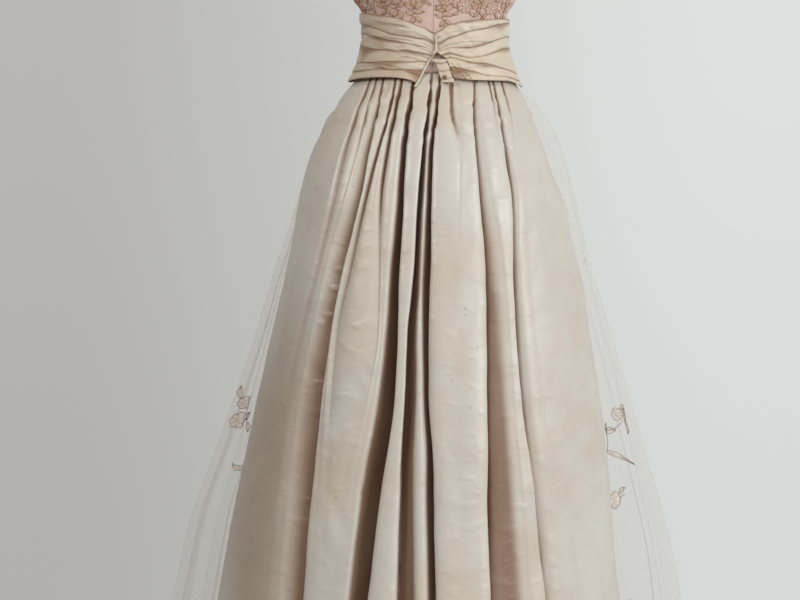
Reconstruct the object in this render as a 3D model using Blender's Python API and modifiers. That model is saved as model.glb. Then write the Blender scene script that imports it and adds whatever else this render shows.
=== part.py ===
"""An evening gown, filled out as it is worn and hollow: a strapless bodice, a ruched satin sash that
closes at the centre, a satin skirt in deep unpressed pleats, a sheer tulle overskirt that is
gathered into the waist over the hidden side, and sprays of lace on the tulle.

Metres, +Z up. The origin is at the middle of the waist seam. The side with the closure faces -Y,
and left and right are those of someone who looks at that side. Tables are in millimetres."""

import math
from collections import namedtuple

import bmesh
import bpy
import numpy as np
from mathutils import Vector
from mathutils.bvhtree import BVHTree

MM = 0.001
SEAM = 0.0003
SEAM_EDGE = 0.0002
SHEER_GAP = 0.0003

SATIN_WALL = 0.0020
LINING_WALL = 0.0015
TULLE_WALL = 0.0010
SASH_WALL = 0.0018
LACE_WALL = 0.0012

HEM_DROP = 1.060
SKIRT_TOP_DROP = 0.0008
SIDE_SEAM_ANGLE = 0.12
SIDE_SEAM_DEPTH = 0.003

# Half widths and depths of the satin skirt, measured from the origin's axis.
Outline = namedtuple("Outline", "drop left right front back")
SATIN_OUTLINE = [
    Outline(0, 120, 120, 82, 86),
    Outline(12, 131, 128, 91, 96),
    Outline(40, 154, 144, 104, 112),
    Outline(80, 176, 158, 117, 132),
    Outline(120, 194, 175, 128, 150),
    Outline(160, 206, 190, 138, 166),
    Outline(200, 215, 204, 147, 180),
    Outline(260, 225, 217, 159, 194),
    Outline(320, 238, 229, 170, 205),
    Outline(400, 256, 242, 184, 217),
    Outline(500, 279, 258, 201, 232),
    Outline(600, 299, 270, 218, 247),
    Outline(700, 320, 278, 234, 262),
    Outline(820, 340, 290, 254, 281),
    Outline(1060, 386, 319, 296, 318),
]

# Where each fold of the satin's front lies across the skirt, at these drops below the waist.
PLACE_DROPS = (0, 60, 120, 200, 300, 400, 500, 600, 800, 1060)
# The drops at which a fold's width, depth and slope are given.
SIZE_DROPS = (0, 25, 60, 150, 300, 600, 1060)
# lean is 1 where the right lip hangs over the valley and -1 where the left one does. slope is how
# far the other side takes to come up. A deep fold has five columns of points and a small one three.
Fold = namedtuple("Fold", "name places widths depths slopes lean columns")
FRONT_FOLDS = [
    Fold("side_trough", (-98, -121, -140, -158, -182, -206, -226, -240, -262, -290),
         (3, 3, 4, 8, 10, 10, 10), (2, 4, 6, 5, 2, 0, 0), (1, 1, 2, 3, 3, 3, 3), 0.0, 3),
    Fold("side_tuck", (-89, -107, -121, -143, -171, -193, -211, -224, -243, -264),
         (2, 2, 2, 2, 2, 2, 2), (2, 4, 5, 1, 0, 0, 0), (1, 1, 1, 1, 1, 1, 1), 0.0, 3),
    Fold("left_pleat", (-79, -90, -103, -117, -142, -160, -175, -185, -201, -219),
         (2, 2, 2, 3, 3, 4, 4), (2, 6, 9, 13, 16, 18, 15), (2, 3, 5, 13, 22, 26, 26), 1.0, 5),
    Fold("left_tuck", (-60, -71, -88, -108, -129, -150, -158, -163, -176, -195),
         (2, 3, 3, 3, 4, 4, 4), (2, 6, 9, 9, 6, 0, 0), (1, 2, 3, 6, 10, 10, 10), 0.5, 3),
    Fold("inner_tuck", (-50, -62, -74, -84, -87, -89, -106, -127, -150, -180),
         (2, 3, 4, 4, 5, 5, 5), (2, 8, 11, 9, 3, 0, 0), (1, 2, 3, 4, 8, 8, 8), 0.5, 3),
    Fold("wide_pleat", (-30, -41, -49, -55, -62, -67, -75, -92, -118, -154),
         (3, 4, 5, 7, 10, 24, 24), (2, 11, 18, 27, 34, 44, 46), (2, 2, 2, 3, 4, 4, 4), 0.7, 5),
    Fold("centre_pleat", (-6, -12, -19, -25, -31, -39, -41, -45, -49, -55),
         (2, 3, 3, 4, 6, 17, 36), (2, 7, 12, 18, 22, 28, 26), (1, 1, 1, 2, 3, 3, 3), -0.8, 5),
    Fold("right_pleat", (8, 1, -7, -11, -14, -15, -15, -11, -7, -4),
         (2, 3, 3, 4, 6, 8, 9), (2, 8, 14, 19, 23, 25, 22), (1, 2, 2, 2, 3, 3, 3), 1.0, 5),
    Fold("waist_dart", (23, 24, 36, 34, 32, 32, 33, 35, 38, 42),
         (3, 5, 6, 3, 3, 3, 3), (2, 5, 6, 1, 0, 0, 0), (1, 1, 1, 1, 1, 1, 1), 0.0, 3),
    Fold("ridge_edge", (60, 58, 62, 68, 76, 78, 78, 79, 81, 85),
         (2, 2, 2, 3, 6, 6, 6), (2, 5, 8, 11, 16, 22, 26), (2, 4, 6, 10, 22, 40, 68), -1.0, 5),
    Fold("outer_tuck", (79, 91, 96, 105, 110, 115, 122, 134, 155, 183),
         (2, 2, 2, 2, 2, 2, 2), (2, 4, 3, 0, 0, 0, 0), (1, 1, 1, 1, 1, 1, 1), 0.0, 3),
    Fold("outer_pleat", (86, 98, 107, 117, 118, 123, 131, 143, 165, 195),
         (2, 2, 2, 3, 3, 3, 4), (2, 6, 8, 10, 10, 9, 9), (1, 2, 3, 6, 8, 8, 10), -0.6, 5),
    Fold("right_tuck", (99, 115, 124, 137, 144, 152, 162, 176, 200, 232),
         (2, 2, 2, 2, 2, 2, 2), (2, 4, 3, 0, 0, 0, 0), (1, 1, 1, 1, 1, 1, 1), 0.0, 3),
]
CENTRE_SEAM_FOLD = "centre_pleat"
FRONT_LEFT_COLUMNS = 3
FRONT_RIGHT_COLUMNS = 5
HARD_LIP = 0.0015
UNDERCUT = 0.0025
LEAST_RIDGE = 0.0016
CROWN_SHARE = 0.16
CROWN_MOST = 0.007
CROWN_STARTS = 0.015
CROWN_FULL = 0.090

# The hidden side's pleats, evenly cut and unevenly laid.
BACK_FOLDS = 9
BACK_FOLD_SHIFT = 0.16
BACK_FOLD_DEPTHS = (2, 5, 8, 12, 16, 20, 22)
BACK_FOLD_WIDTHS = (3, 4, 5, 7, 11, 18, 24)

SATIN_DROPS = (0, 12, 40, 80, 120, 170, 240, 330, 450, 590, 740, 900, 1060)

# The tulle overskirt, which hangs free of the satin. middle is how far back its widest place lies.
Sheer = namedtuple("Sheer", "drop left right back middle")
OVERSKIRT_OUTLINE = [
    Sheer(0, 118, 118, 88, 24),
    Sheer(12, 128, 124.5, 98, 26),
    Sheer(30, 144, 154, 116, 30),
    Sheer(80, 178, 190, 150, 38),
    Sheer(120, 196, 206, 171, 44),
    Sheer(200, 219, 226, 203, 55),
    Sheer(300, 252, 250, 239, 68),
    Sheer(400, 281, 279, 276, 80),
    Sheer(500, 314, 308, 316, 90),
    Sheer(600, 349, 336, 358, 100),
    Sheer(700, 385, 364, 400, 108),
    Sheer(800, 407, 386, 436, 115),
    Sheer(1060, 458, 413, 500, 125),
]
OVERSKIRT_DROPS = (0, 12, 40, 80, 120, 200, 300, 420, 560, 720, 890, 1060)
OVERSKIRT_EDGE_ANGLE = 0.19
OVERSKIRT_EDGE_CLEARANCE = (0.0014, 0.009)
OVERSKIRT_EDGE_SHARE = 0.09
OVERSKIRT_WAVES = 14
COLUMNS_PER_WAVE = 4
OVERSKIRT_WAVE = (0.0004, 0.017)

# Half width and depths of the body form that the bodice is cut to.
Form = namedtuple("Form", "height side front back")
BODICE_FORM = [
    Form(-30, 118.5, 80.0, 83.5),
    Form(0, 117.5, 79.0, 82.5),
    Form(30, 112.5, 77.5, 82.0),
    Form(60, 108.5, 77.5, 82.5),
    Form(80, 108.5, 79.0, 84.0),
    Form(100, 111.5, 82.5, 86.5),
    Form(122, 125.0, 89.0, 91.0),
    Form(160, 139.0, 97.0, 97.0),
    Form(200, 147.0, 102.0, 102.0),
    Form(240, 147.0, 101.0, 104.0),
    Form(280, 144.0, 96.0, 105.0),
]
CUP_SIDE = 0.072
CUP_HEIGHT = 0.192
CUP_RISE = 0.027
CUP_SPREAD = 0.042
CENTRE_SEAM_SIDE = -0.004
BODICE_ROWS = 11
BODICE_SIDE_COLUMNS = 4
BODICE_CENTRE_COLUMNS = 7
BODICE_BACK_COLUMNS = 13
SIDE_FRONT_SEAM = ((0, 80), (110, 95), (200, 106), (280, 112))
TOP_EDGE_CENTRE = 0.232
TOP_EDGE_CUP = 0.266
TOP_EDGE_SIDE = 0.240
TOP_EDGE_BACK = 0.215

# Heights of the sash's two edges and the share of its height at which each crease lies.
Station = namedtuple("Station", "side bottom top c1 c2 c3 c4 c5")
SASH_LEFT = [
    Station(-18, -19, 70, 0.25, 0.41, 0.55, 0.66, 0.80),
    Station(-45, -10, 79, 0.17, 0.30, 0.50, 0.62, 0.74),
    Station(-66, -7, 86, 0.13, 0.27, 0.455, 0.61, 0.71),
    Station(-93, -6, 93, 0.137, 0.245, 0.455, 0.65, 0.77),
    Station(-118, -6, 100, 0.13, 0.25, 0.52, 0.71, 0.86),
]
SASH_RIGHT = [
    Station(20, -10, 74, 0.22, 0.40, 0.48, 0.57, 0.76),
    Station(52, -12, 81, 0.165, 0.31, 0.38, 0.555, 0.82),
    Station(75, -11, 84, 0.08, 0.28, 0.41, 0.60, 0.85),
    Station(100, -10, 86, 0.07, 0.20, 0.52, 0.683, 0.93),
    Station(118, -14, 91, 0.07, 0.17, 0.57, 0.75, 0.95),
]
SASH_BACK = Station(0, -2, 94, 0.16, 0.33, 0.50, 0.67, 0.84)
SASH_TOP_AT_CENTRE = 0.061
SASH_SIDE_TURN = 2.5
SASH_STANDOFF = ((0.0, 16.0), (0.12, 10.0), (0.25, 8.2), (0.4, 5.8), (0.6, 4.8), (0.85, 4.9), (1.0, 5.2))
SASH_PLEAT_RISE = 0.0034
SASH_HALF_COLUMNS = 10
SASH_BACK_COLUMNS = 11
# The closure: how far each end lies from the centre at these heights.
SASH_LEFT_END = ((-24, -32), (-15, -27.4), (3, -19.8), (21, -11.2), (32, -0.6), (62, -0.4))
SASH_RIGHT_END = ((-24, 29), (-10.5, 26.2), (-5, 23.1), (7, 20.0), (16, 17.0), (23.5, 12.4), (31, 0.4), (62, 0.2))
BINDING_RADIUS = 0.0015
BINDING_GAP = 0.0010
BINDING_TOP = 0.0275
TAB_LEFT_SIDE = ((-17, 9.5), (-1, 4.4), (11, 1.4), (21, -7.5))
TAB_BOTTOM = -0.0165
TAB_TOP = 0.0200
TAB_PLEATS = 3
SNAP_RADIUS = 0.0036
SNAP_THICK = 0.0016
SNAP_PLACE = (0.0132, -0.0088)
SNAP_OUT = 0.0040

# Lace sprays are sewn on the tulle. Each is one piece of flowers and leaves round its middle.
# turn is each flower's or leaf's direction in degrees, anticlockwise from the right, and rises.
Lobe = namedtuple("Lobe", "form turn reach spread")
SPRAYS = {
    "sprig": [
        Lobe("leaf", 22, 16, 22), Lobe("flower", 84, 32, 30), Lobe("leaf", 150, 16, 22),
        Lobe("flower", 222, 21, 36), Lobe("leaf", 282, 38, 18),
    ],
    "mirrored_sprig": [
        Lobe("leaf", 30, 16, 22), Lobe("flower", 96, 32, 30), Lobe("leaf", 158, 16, 22),
        Lobe("leaf", 258, 38, 18), Lobe("flower", 318, 21, 36),
    ],
    "bouquet": [
        Lobe("flower", 20, 36, 30), Lobe("leaf", 74, 50, 18), Lobe("flower", 126, 42, 28),
        Lobe("leaf", 190, 36, 22), Lobe("flower", 246, 52, 24), Lobe("leaf", 300, 48, 18),
    ],
    "branch": [
        Lobe("leaf", 20, 20, 22), Lobe("flower", 84, 40, 30), Lobe("leaf", 160, 20, 22),
        Lobe("flower", 250, 44, 24), Lobe("leaf", 304, 32, 18),
    ],
}
# A lobe's outline: places across its spread and how much of its reach each has.
LOBE_FORMS = {
    "flower": ((-1.0, 0.0), (-0.78, 0.74), (-0.34, 0.98), (0.0, 0.90), (0.34, 1.0), (0.78, 0.76), (1.0, 0.0)),
    "leaf": ((-1.0, 0.0), (-0.42, 0.58), (0.0, 1.0), (0.42, 0.58), (1.0, 0.0)),
}
SPRAY_RINGS = (0.0, 0.5, 1.0)
SPRAY_HEART = 0.26
SPRAY_GAP = 0.0006
SPRAY_REACH = 0.060
SPRAY_STEP = 0.020
SEATING_SHARES = (0.0, 0.25, 0.5, 0.75, 1.0)
SEATING_ROUNDS = 4
# column is the fold of the overskirt that a sprig lies on, and drop how far it is below the waist.
Sprig = namedtuple("Sprig", "node outline column drop")
OVERSKIRT_SPRIGS = [
    Sprig("sprig_left", "sprig", 52.25, 534),
    Sprig("sprig_right", "mirrored_sprig", 2.25, 548),
    Sprig("sprig_right_low", "sprig", 1.75, 668),
    Sprig("sprig_back_right", "mirrored_sprig", 16.0, 560),
    Sprig("sprig_back", "sprig", 28.0, 600),
    Sprig("sprig_back_left", "sprig", 40.0, 560),
]
BodiceSpray = namedtuple("BodiceSpray", "node outline turn height over")
BODICE_SPRAYS = [
    BodiceSpray("lace_left", "bouquet", 66, 158, "bodice_tulle_left"),
    BodiceSpray("lace_left_side", "branch", 32, 150, "bodice_tulle_left"),
    BodiceSpray("lace_right", "bouquet", 109, 158, "bodice_tulle_right"),
    BodiceSpray("lace_right_side", "branch", 148, 150, "bodice_tulle_right"),
    BodiceSpray("lace_back_left", "bouquet", 299, 158, "bodice_tulle_back"),
    BodiceSpray("lace_back_right", "bouquet", 241, 158, "bodice_tulle_back"),
]

COLOURS = {
    "satin": ((0.62, 0.57, 0.50), 0.42),
    "sash_satin": ((0.55, 0.48, 0.38), 0.40),
    "lining": ((0.60, 0.45, 0.38), 0.60),
    "tulle": ((0.70, 0.66, 0.60), 0.80),
    "lace": ((0.52, 0.33, 0.22), 0.80),
    "metal": ((0.70, 0.66, 0.58), 0.30),
}


def table_value(rows, key, column, at):
    """Reads one named column of a table between its rows, with all three in millimetres."""
    keys = [getattr(row, key) for row in rows]
    return float(np.interp(at, keys, [getattr(row, column) for row in rows]))


def smooth_step(x):
    x = min(max(x, 0.0), 1.0)
    return x * x * (3 - 2 * x)


def ring_point(angle, left, right, front, back):
    """A point on a level ring and its outward normal. The angle runs from the left side through the
    front to the right side and on round the back."""
    centre = (right - left) / 2
    half = (right + left) / 2
    depth = front if math.sin(angle) >= 0 else back
    point = Vector((centre - half * math.cos(angle), -depth * math.sin(angle), 0))
    normal = Vector((-math.cos(angle) / half, -math.sin(angle) / depth, 0)).normalized()
    return point, normal


def satin_ring(drop):
    at = drop / MM
    return [table_value(SATIN_OUTLINE, "drop", name, at) * MM for name in ("left", "right", "front", "back")]


def satin_point(angle, inward, drop):
    point, normal = ring_point(angle, *satin_ring(drop))
    point -= normal * inward
    point.z = -drop
    return point


def fold_profile(width, depth, slope, lean, columns):
    """Side and depth of each column of one fold, from its left lip to its right lip."""
    tilt = abs(lean)
    left = (-width / 2 - HARD_LIP - slope * tilt, 0.0)
    bottom = (tilt * (width / 2 + UNDERCUT), depth)
    right = (width / 2 + HARD_LIP * (1 - tilt), 0.0)
    if columns == 3:
        bottom = (tilt * width / 2, depth)
        profile = [left, bottom, right]
    else:
        left_wall = (-width / 4 * (1 + tilt), depth * (0.6 - 0.12 * tilt))
        right_wall = (width / 4 * (1 + tilt) + tilt * UNDERCUT * 0.8, depth * 0.55)
        profile = [left, left_wall, bottom, right_wall, right]
    if lean < 0:
        profile = [(-side, inward) for side, inward in reversed(profile)]
    return profile


def crown(width, drop):
    grown = smooth_step((drop - CROWN_STARTS) / (CROWN_FULL - CROWN_STARTS))
    return grown * min(CROWN_SHARE * width, CROWN_MOST)


def front_folds(drop):
    """The columns of each front fold at this drop, as (side, inward) pairs in metres."""
    at = drop / MM
    folds = []
    for fold in FRONT_FOLDS:
        place = np.interp(at, PLACE_DROPS, fold.places) * MM
        sizes = [np.interp(at, SIZE_DROPS, row) * MM for row in (fold.widths, fold.depths, fold.slopes)]
        profile = fold_profile(*sizes, fold.lean, fold.columns)
        folds.append([[place + side, inward] for side, inward in profile])
    for before, after in zip(folds, folds[1:]):
        if after[0][0] - before[-1][0] < LEAST_RIDGE:
            middle = (after[0][0] + before[-1][0]) / 2
            before[-1][0] = middle - LEAST_RIDGE / 2
            after[0][0] = middle + LEAST_RIDGE / 2
    return folds


def front_section(drop):
    """Angle and inward depth of each column of the satin's front, and the place of the centre seam."""
    left, right, _, _ = satin_ring(drop)
    centre = (right - left) / 2
    half = (right + left) / 2

    def angle_at(side):
        return math.acos(min(max((centre - side) / half, -0.999), 0.999))

    folds = front_folds(drop)
    section = [(-SIDE_SEAM_ANGLE, SIDE_SEAM_DEPTH)]
    first = angle_at(folds[0][0][0])
    for step in range(FRONT_LEFT_COLUMNS):
        share = (step + 0.6) / (FRONT_LEFT_COLUMNS + 0.6)
        section.append((-SIDE_SEAM_ANGLE + share * (first + SIDE_SEAM_ANGLE), 0.0))
    seam = None
    for index, (fold, columns) in enumerate(zip(FRONT_FOLDS, folds)):
        if index:
            lip = folds[index - 1][-1][0]
            width = columns[0][0] - lip
            section.append((angle_at(lip + width / 2), -crown(width, drop)))
        if fold.name == CENTRE_SEAM_FOLD:
            seam = len(section) + len(columns) // 2
        section += [(angle_at(side), inward) for side, inward in columns]
    last = section[-1][0]
    end = math.pi + SIDE_SEAM_ANGLE
    for step in range(FRONT_RIGHT_COLUMNS):
        share = (step + 1) / (FRONT_RIGHT_COLUMNS + 0.6)
        section.append((last + share * (end - last), 0.0))
    section.append((end, SIDE_SEAM_DEPTH))
    return section, seam


def back_section(drop):
    """Angle and inward depth of each column of the satin's hidden side."""
    at = drop / MM
    width = np.interp(at, SIZE_DROPS, BACK_FOLD_WIDTHS) * MM
    depth = np.interp(at, SIZE_DROPS, BACK_FOLD_DEPTHS) * MM
    _, _, _, back = satin_ring(drop)
    start = math.pi + SIDE_SEAM_ANGLE
    span = math.pi - 2 * SIDE_SEAM_ANGLE
    section = [(start, SIDE_SEAM_DEPTH)]
    for fold in range(BACK_FOLDS):
        uneven = math.sin(2.3 * fold + 0.8)
        place = start + span * (fold + 0.62 + BACK_FOLD_SHIFT * uneven) / (BACK_FOLDS + 0.24)
        half = width * (1 + 0.25 * uneven) / back / 2
        previous = section[-1][0]
        gap = place - half - previous
        bulge = crown(gap * back, drop) if fold else 0.0
        section.append((previous + gap * 0.5, -bulge))
        deep = depth * (1 + 0.25 * math.sin(1.7 * fold))
        section += [(place - half, 0.0), (place + half * 0.4 * uneven, deep), (place + half, 0.0)]
    end = start + span
    section.append(((section[-1][0] + end) / 2, 0.0))
    section.append((end, SIDE_SEAM_DEPTH))
    return section


def overskirt_section(drop):
    """The points of one level of the overskirt, from its right edge round the back to its left."""
    at = drop / MM
    left, right, back, middle = (
        table_value(OVERSKIRT_OUTLINE, "drop", name, at) * MM for name in ("left", "right", "back", "middle")
    )
    share = drop / HEM_DROP
    clearance = OVERSKIRT_EDGE_CLEARANCE[0] + share * (OVERSKIRT_EDGE_CLEARANCE[1] - OVERSKIRT_EDGE_CLEARANCE[0])
    starts = satin_point(math.pi + OVERSKIRT_EDGE_ANGLE, -clearance, drop)
    ends = satin_point(-OVERSKIRT_EDGE_ANGLE, -clearance, drop)
    height = OVERSKIRT_WAVE[0] + share * (OVERSKIRT_WAVE[1] - OVERSKIRT_WAVE[0])
    count = OVERSKIRT_WAVES * COLUMNS_PER_WAVE
    points = []
    for column in range(count + 1):
        along = column / count
        angle = math.pi * (1 + (along - OVERSKIRT_EDGE_SHARE) / (1 - 2 * OVERSKIRT_EDGE_SHARE))
        angle = min(max(angle, math.pi), 2 * math.pi)
        point, normal = ring_point(angle, left, right, back - middle, back - middle)
        point.y += middle
        if along < OVERSKIRT_EDGE_SHARE:
            point = starts.lerp(point, along / OVERSKIRT_EDGE_SHARE)
        elif along > 1 - OVERSKIRT_EDGE_SHARE:
            point = ends.lerp(point, (1 - along) / OVERSKIRT_EDGE_SHARE)
        calm = smooth_step(along / 0.06) * smooth_step((1 - along) / 0.06)
        wave = math.cos(math.pi * 2 * (column / COLUMNS_PER_WAVE + 0.25))
        uneven = 1 + 0.3 * math.sin(1.9 * (column // COLUMNS_PER_WAVE))
        point += normal * height * calm * wave * uneven
        point.z = -drop
        points.append(point)
    return points


def bodice_point(angle, height, out):
    """A point on the bodice's form, moved out along the form's own normal."""

    def place(at_angle, at_height):
        up = at_height / MM
        side, front, back = (table_value(BODICE_FORM, "height", name, up) * MM for name in ("side", "front", "back"))
        point, normal = ring_point(at_angle, side, side, front, back)
        if math.sin(at_angle) > 0:
            for cup in (-CUP_SIDE, CUP_SIDE):
                near = ((point.x - cup) ** 2 + (at_height - CUP_HEIGHT) ** 2) / (2 * CUP_SPREAD**2)
                point.y -= CUP_RISE * math.exp(-near) * math.sin(at_angle) ** 0.5
        point.z = at_height
        return point

    small = 0.004
    around = place(angle + small, height) - place(angle - small, height)
    upward = place(angle, height + small) - place(angle, height - small)
    return place(angle, height) + around.cross(upward).normalized() * out


def bodice_angle(side, height):
    half = table_value(BODICE_FORM, "height", "side", height / MM) * MM
    return math.acos(min(max(-side / half, -0.999), 0.999))


def top_edge(angle):
    """Height of the bodice's top edge."""
    across = -math.cos(angle)
    if math.sin(angle) < 0:
        return TOP_EDGE_SIDE + (TOP_EDGE_BACK - TOP_EDGE_SIDE) * smooth_step(-math.sin(angle))
    outer = abs(across)
    if outer < 0.5:
        return TOP_EDGE_CENTRE + (TOP_EDGE_CUP - TOP_EDGE_CENTRE) * smooth_step(outer / 0.5)
    return TOP_EDGE_CUP + (TOP_EDGE_SIDE - TOP_EDGE_CUP) * smooth_step((outer - 0.5) / 0.5)


def side_front_angle(height, hand):
    drops, sides = zip(*SIDE_FRONT_SEAM)
    return bodice_angle(hand * np.interp(height / MM, drops, sides) * MM, height)


def sash_ends(height):
    """The angles of the sash's left and right ends at the front."""
    ends = []
    for rows in (SASH_LEFT_END, SASH_RIGHT_END):
        heights, sides = zip(*rows)
        ends.append(bodice_angle(np.interp(height / MM, heights, sides) * MM, height))
    return ends


def sash_station(angle):
    """The sash's edges and creases at this angle."""
    across = -math.cos(angle)
    if math.sin(angle) < 0:
        rows = [SASH_LEFT[-1], SASH_BACK, SASH_RIGHT[-1]]
        sides = [-1, 0, 1]
        at = math.copysign(1 - smooth_step(-math.sin(angle) * SASH_SIDE_TURN), across)
    else:
        rows = list(reversed(SASH_LEFT)) + SASH_RIGHT
        sides = [row.side for row in rows]
        at = across * 118
    return Station(*(np.interp(at, sides, [getattr(row, name) for row in rows]) for name in Station._fields))


def sash_shares(station):
    """Where the sash's rows of points lie between its edges, and how far each stands out."""
    creases = [station.c1, station.c2, station.c3, station.c4, station.c5]
    stops = [0.0] + creases + [1.0]
    rows = [(0.0, 0.0)]
    for low, high in zip(stops, stops[1:]):
        rows.append((low + 0.28 * (high - low), 0.85))
        rows.append((low + 0.70 * (high - low), 1.0))
        rows.append((high, 0.0))
    return rows


def sash_point(angle, share, rise):
    station = sash_station(angle)
    bottom = station.bottom * MM
    top = station.top * MM
    across = -math.cos(angle)
    if math.sin(angle) > 0 and abs(across) < 0.2:
        top += (SASH_TOP_AT_CENTRE - top) * smooth_step(1 - abs(across) / 0.2)
    height = bottom + share * (top - bottom)
    shares, standoffs = zip(*SASH_STANDOFF)
    out = np.interp(share, shares, standoffs) * MM + rise * SASH_PLEAT_RISE
    side, front, back = (table_value(BODICE_FORM, "height", name, height / MM) * MM for name in ("side", "front", "back"))
    point, normal = ring_point(angle, side, side, front, back)
    point += normal * out
    point.z = height
    return point


def material(name):
    colour, roughness = COLOURS[name]
    made = bpy.data.materials.get(name) or bpy.data.materials.new(name)
    made.use_nodes = True
    shader = made.node_tree.nodes["Principled BSDF"]
    shader.inputs["Base Color"].default_value = (*colour, 1)
    shader.inputs["Roughness"].default_value = roughness
    shader.inputs["Metallic"].default_value = 1.0 if name == "metal" else 0.0
    made.diffuse_color = (*colour, 1)
    return made


def add_object(name, mesh, finish):
    made = bpy.data.objects.new(name, mesh)
    made.data.materials.append(material(finish))
    gown.objects.link(made)
    mesh.shade_smooth()
    mesh.set_sharp_from_angle(angle=math.radians(50))
    return made


def cloth(name, rows, wall, finish, outward=False):
    """A sheet through rows of points, given from the lowest row up, with Solidify as its wall."""
    columns = len(rows[0])
    bm = bmesh.new()
    bmesh.ops.create_grid(bm, x_segments=columns - 1, y_segments=len(rows) - 1, size=0.5)
    for vertex in bm.verts:
        column = round((vertex.co.x + 0.5) * (columns - 1))
        row = round((vertex.co.y + 0.5) * (len(rows) - 1))
        vertex.co = rows[row][column]
    mesh = bpy.data.meshes.new(name)
    bm.to_mesh(mesh)
    bm.free()
    made = add_object(name, mesh, finish)
    wall_modifier = made.modifiers.new("wall", "SOLIDIFY")
    wall_modifier.thickness = wall
    wall_modifier.offset = 1.0 if outward else -1.0
    return made


def trimmed(points, start, end):
    """Moves the ends of a row of points in along the row, which leaves room for a seam."""
    points = [point.copy() for point in points]
    points[0] += (points[1] - points[0]).normalized() * start
    points[-1] += (points[-2] - points[-1]).normalized() * end
    return points


def build_satin():
    drops = [max(drop * MM, SKIRT_TOP_DROP) for drop in reversed(SATIN_DROPS)]
    left_rows, right_rows, back_rows = [], [], []
    for drop in drops:
        section, seam = front_section(drop)
        points = [satin_point(angle, inward, drop) for angle, inward in section]
        left_rows.append(trimmed(points[: seam + 1], SEAM_EDGE, SEAM_EDGE))
        right_rows.append(trimmed(points[seam:], SEAM_EDGE, SEAM_EDGE))
        points = [satin_point(angle, inward, drop) for angle, inward in back_section(drop)]
        back_rows.append(trimmed(points, SEAM_EDGE, SEAM_EDGE))
    cloth("skirt_front_left", left_rows, SATIN_WALL, "satin")
    cloth("skirt_front_right", right_rows, SATIN_WALL, "satin")
    cloth("skirt_back", back_rows, SATIN_WALL, "satin")


def build_overskirt():
    drops = [max(drop * MM, SKIRT_TOP_DROP) for drop in reversed(OVERSKIRT_DROPS)]
    cloth("overskirt", [overskirt_section(drop) for drop in drops], TULLE_WALL, "tulle", outward=True)


def bodice_rows(start, end, columns, out):
    """Rows of points of the bodice between two seams, each a function of the height."""
    rows = []
    for row in range(BODICE_ROWS):
        points = []
        for column in range(columns):
            share = column / (columns - 1)
            height = 0.1
            for _ in range(3):
                angle = start(height) + share * (end(height) - start(height))
                height = top_edge(angle) * row / (BODICE_ROWS - 1)
            points.append(bodice_point(angle, height, out))
        rows.append(points)
    return rows


def build_bodice():
    def centre(height):
        return bodice_angle(CENTRE_SEAM_SIDE, height)

    def left_front(height):
        return side_front_angle(height, -1)

    def right_front(height):
        return side_front_angle(height, 1)

    def left_side(height):
        return 0.0

    def right_side(height):
        return math.pi

    def whole_turn(height):
        return 2 * math.pi

    panels = {
        "bodice_side_left": (left_side, left_front, BODICE_SIDE_COLUMNS),
        "bodice_centre_left": (left_front, centre, BODICE_CENTRE_COLUMNS),
        "bodice_centre_right": (centre, right_front, BODICE_CENTRE_COLUMNS),
        "bodice_side_right": (right_front, right_side, BODICE_SIDE_COLUMNS),
        "bodice_back": (right_side, whole_turn, BODICE_BACK_COLUMNS),
    }
    for name, panel in panels.items():
        rows = [trimmed(points, SEAM_EDGE, SEAM_EDGE) for points in bodice_rows(*panel, 0.0)]
        cloth(name, rows, LINING_WALL, "lining", outward=True)
    sheers = {
        "bodice_tulle_left": ("bodice_side_left", "bodice_centre_left"),
        "bodice_tulle_right": ("bodice_centre_right", "bodice_side_right"),
        "bodice_tulle_back": ("bodice_back",),
    }
    for name, over in sheers.items():
        parts = [bodice_rows(*panels[panel], LINING_WALL + SHEER_GAP) for panel in over]
        rows = []
        for row in range(BODICE_ROWS):
            points = parts[0][row]
            for part in parts[1:]:
                points = points + part[row][1:]
            rows.append(trimmed(points, SEAM_EDGE, SEAM_EDGE))
        cloth(name, rows, TULLE_WALL, "tulle", outward=True)


def sash_angles(height):
    """The angles of the sash's columns, from its right end round the back to its left end."""
    left_end, right_end = sash_ends(height)
    angles = []
    for column in range(SASH_HALF_COLUMNS):
        share = column / SASH_HALF_COLUMNS
        angles.append(right_end + share * (math.pi - right_end))
    for column in range(SASH_BACK_COLUMNS):
        angles.append(math.pi + math.pi * column / SASH_BACK_COLUMNS)
    for column in range(SASH_HALF_COLUMNS + 1):
        share = column / SASH_HALF_COLUMNS
        angles.append(2 * math.pi + share * left_end)
    return angles


def build_sash():
    rows = []
    row_count = len(sash_shares(SASH_BACK))
    for row in range(row_count):
        points = []
        for column in range(2 * SASH_HALF_COLUMNS + SASH_BACK_COLUMNS + 1):
            height = 0.0
            for _ in range(4):
                angle = sash_angles(height)[column]
                share, rise = sash_shares(sash_station(angle))[row]
                point = sash_point(angle, share, rise)
                height = point.z
            points.append(point)
        rows.append(points)
    cloth("sash", rows, SASH_WALL, "sash_satin", outward=True)
    build_binding(rows)
    build_tab()


def sash_front_depth(height, extra):
    """How far the front of the sash lies from the origin's plane at the closure."""
    station = sash_station(math.pi / 2)
    share = (height / MM - station.bottom) / (station.top - station.bottom)
    shares, standoffs = zip(*SASH_STANDOFF)
    front = table_value(BODICE_FORM, "height", "front", height / MM) * MM
    return front + np.interp(share, shares, standoffs) * MM + extra


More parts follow.
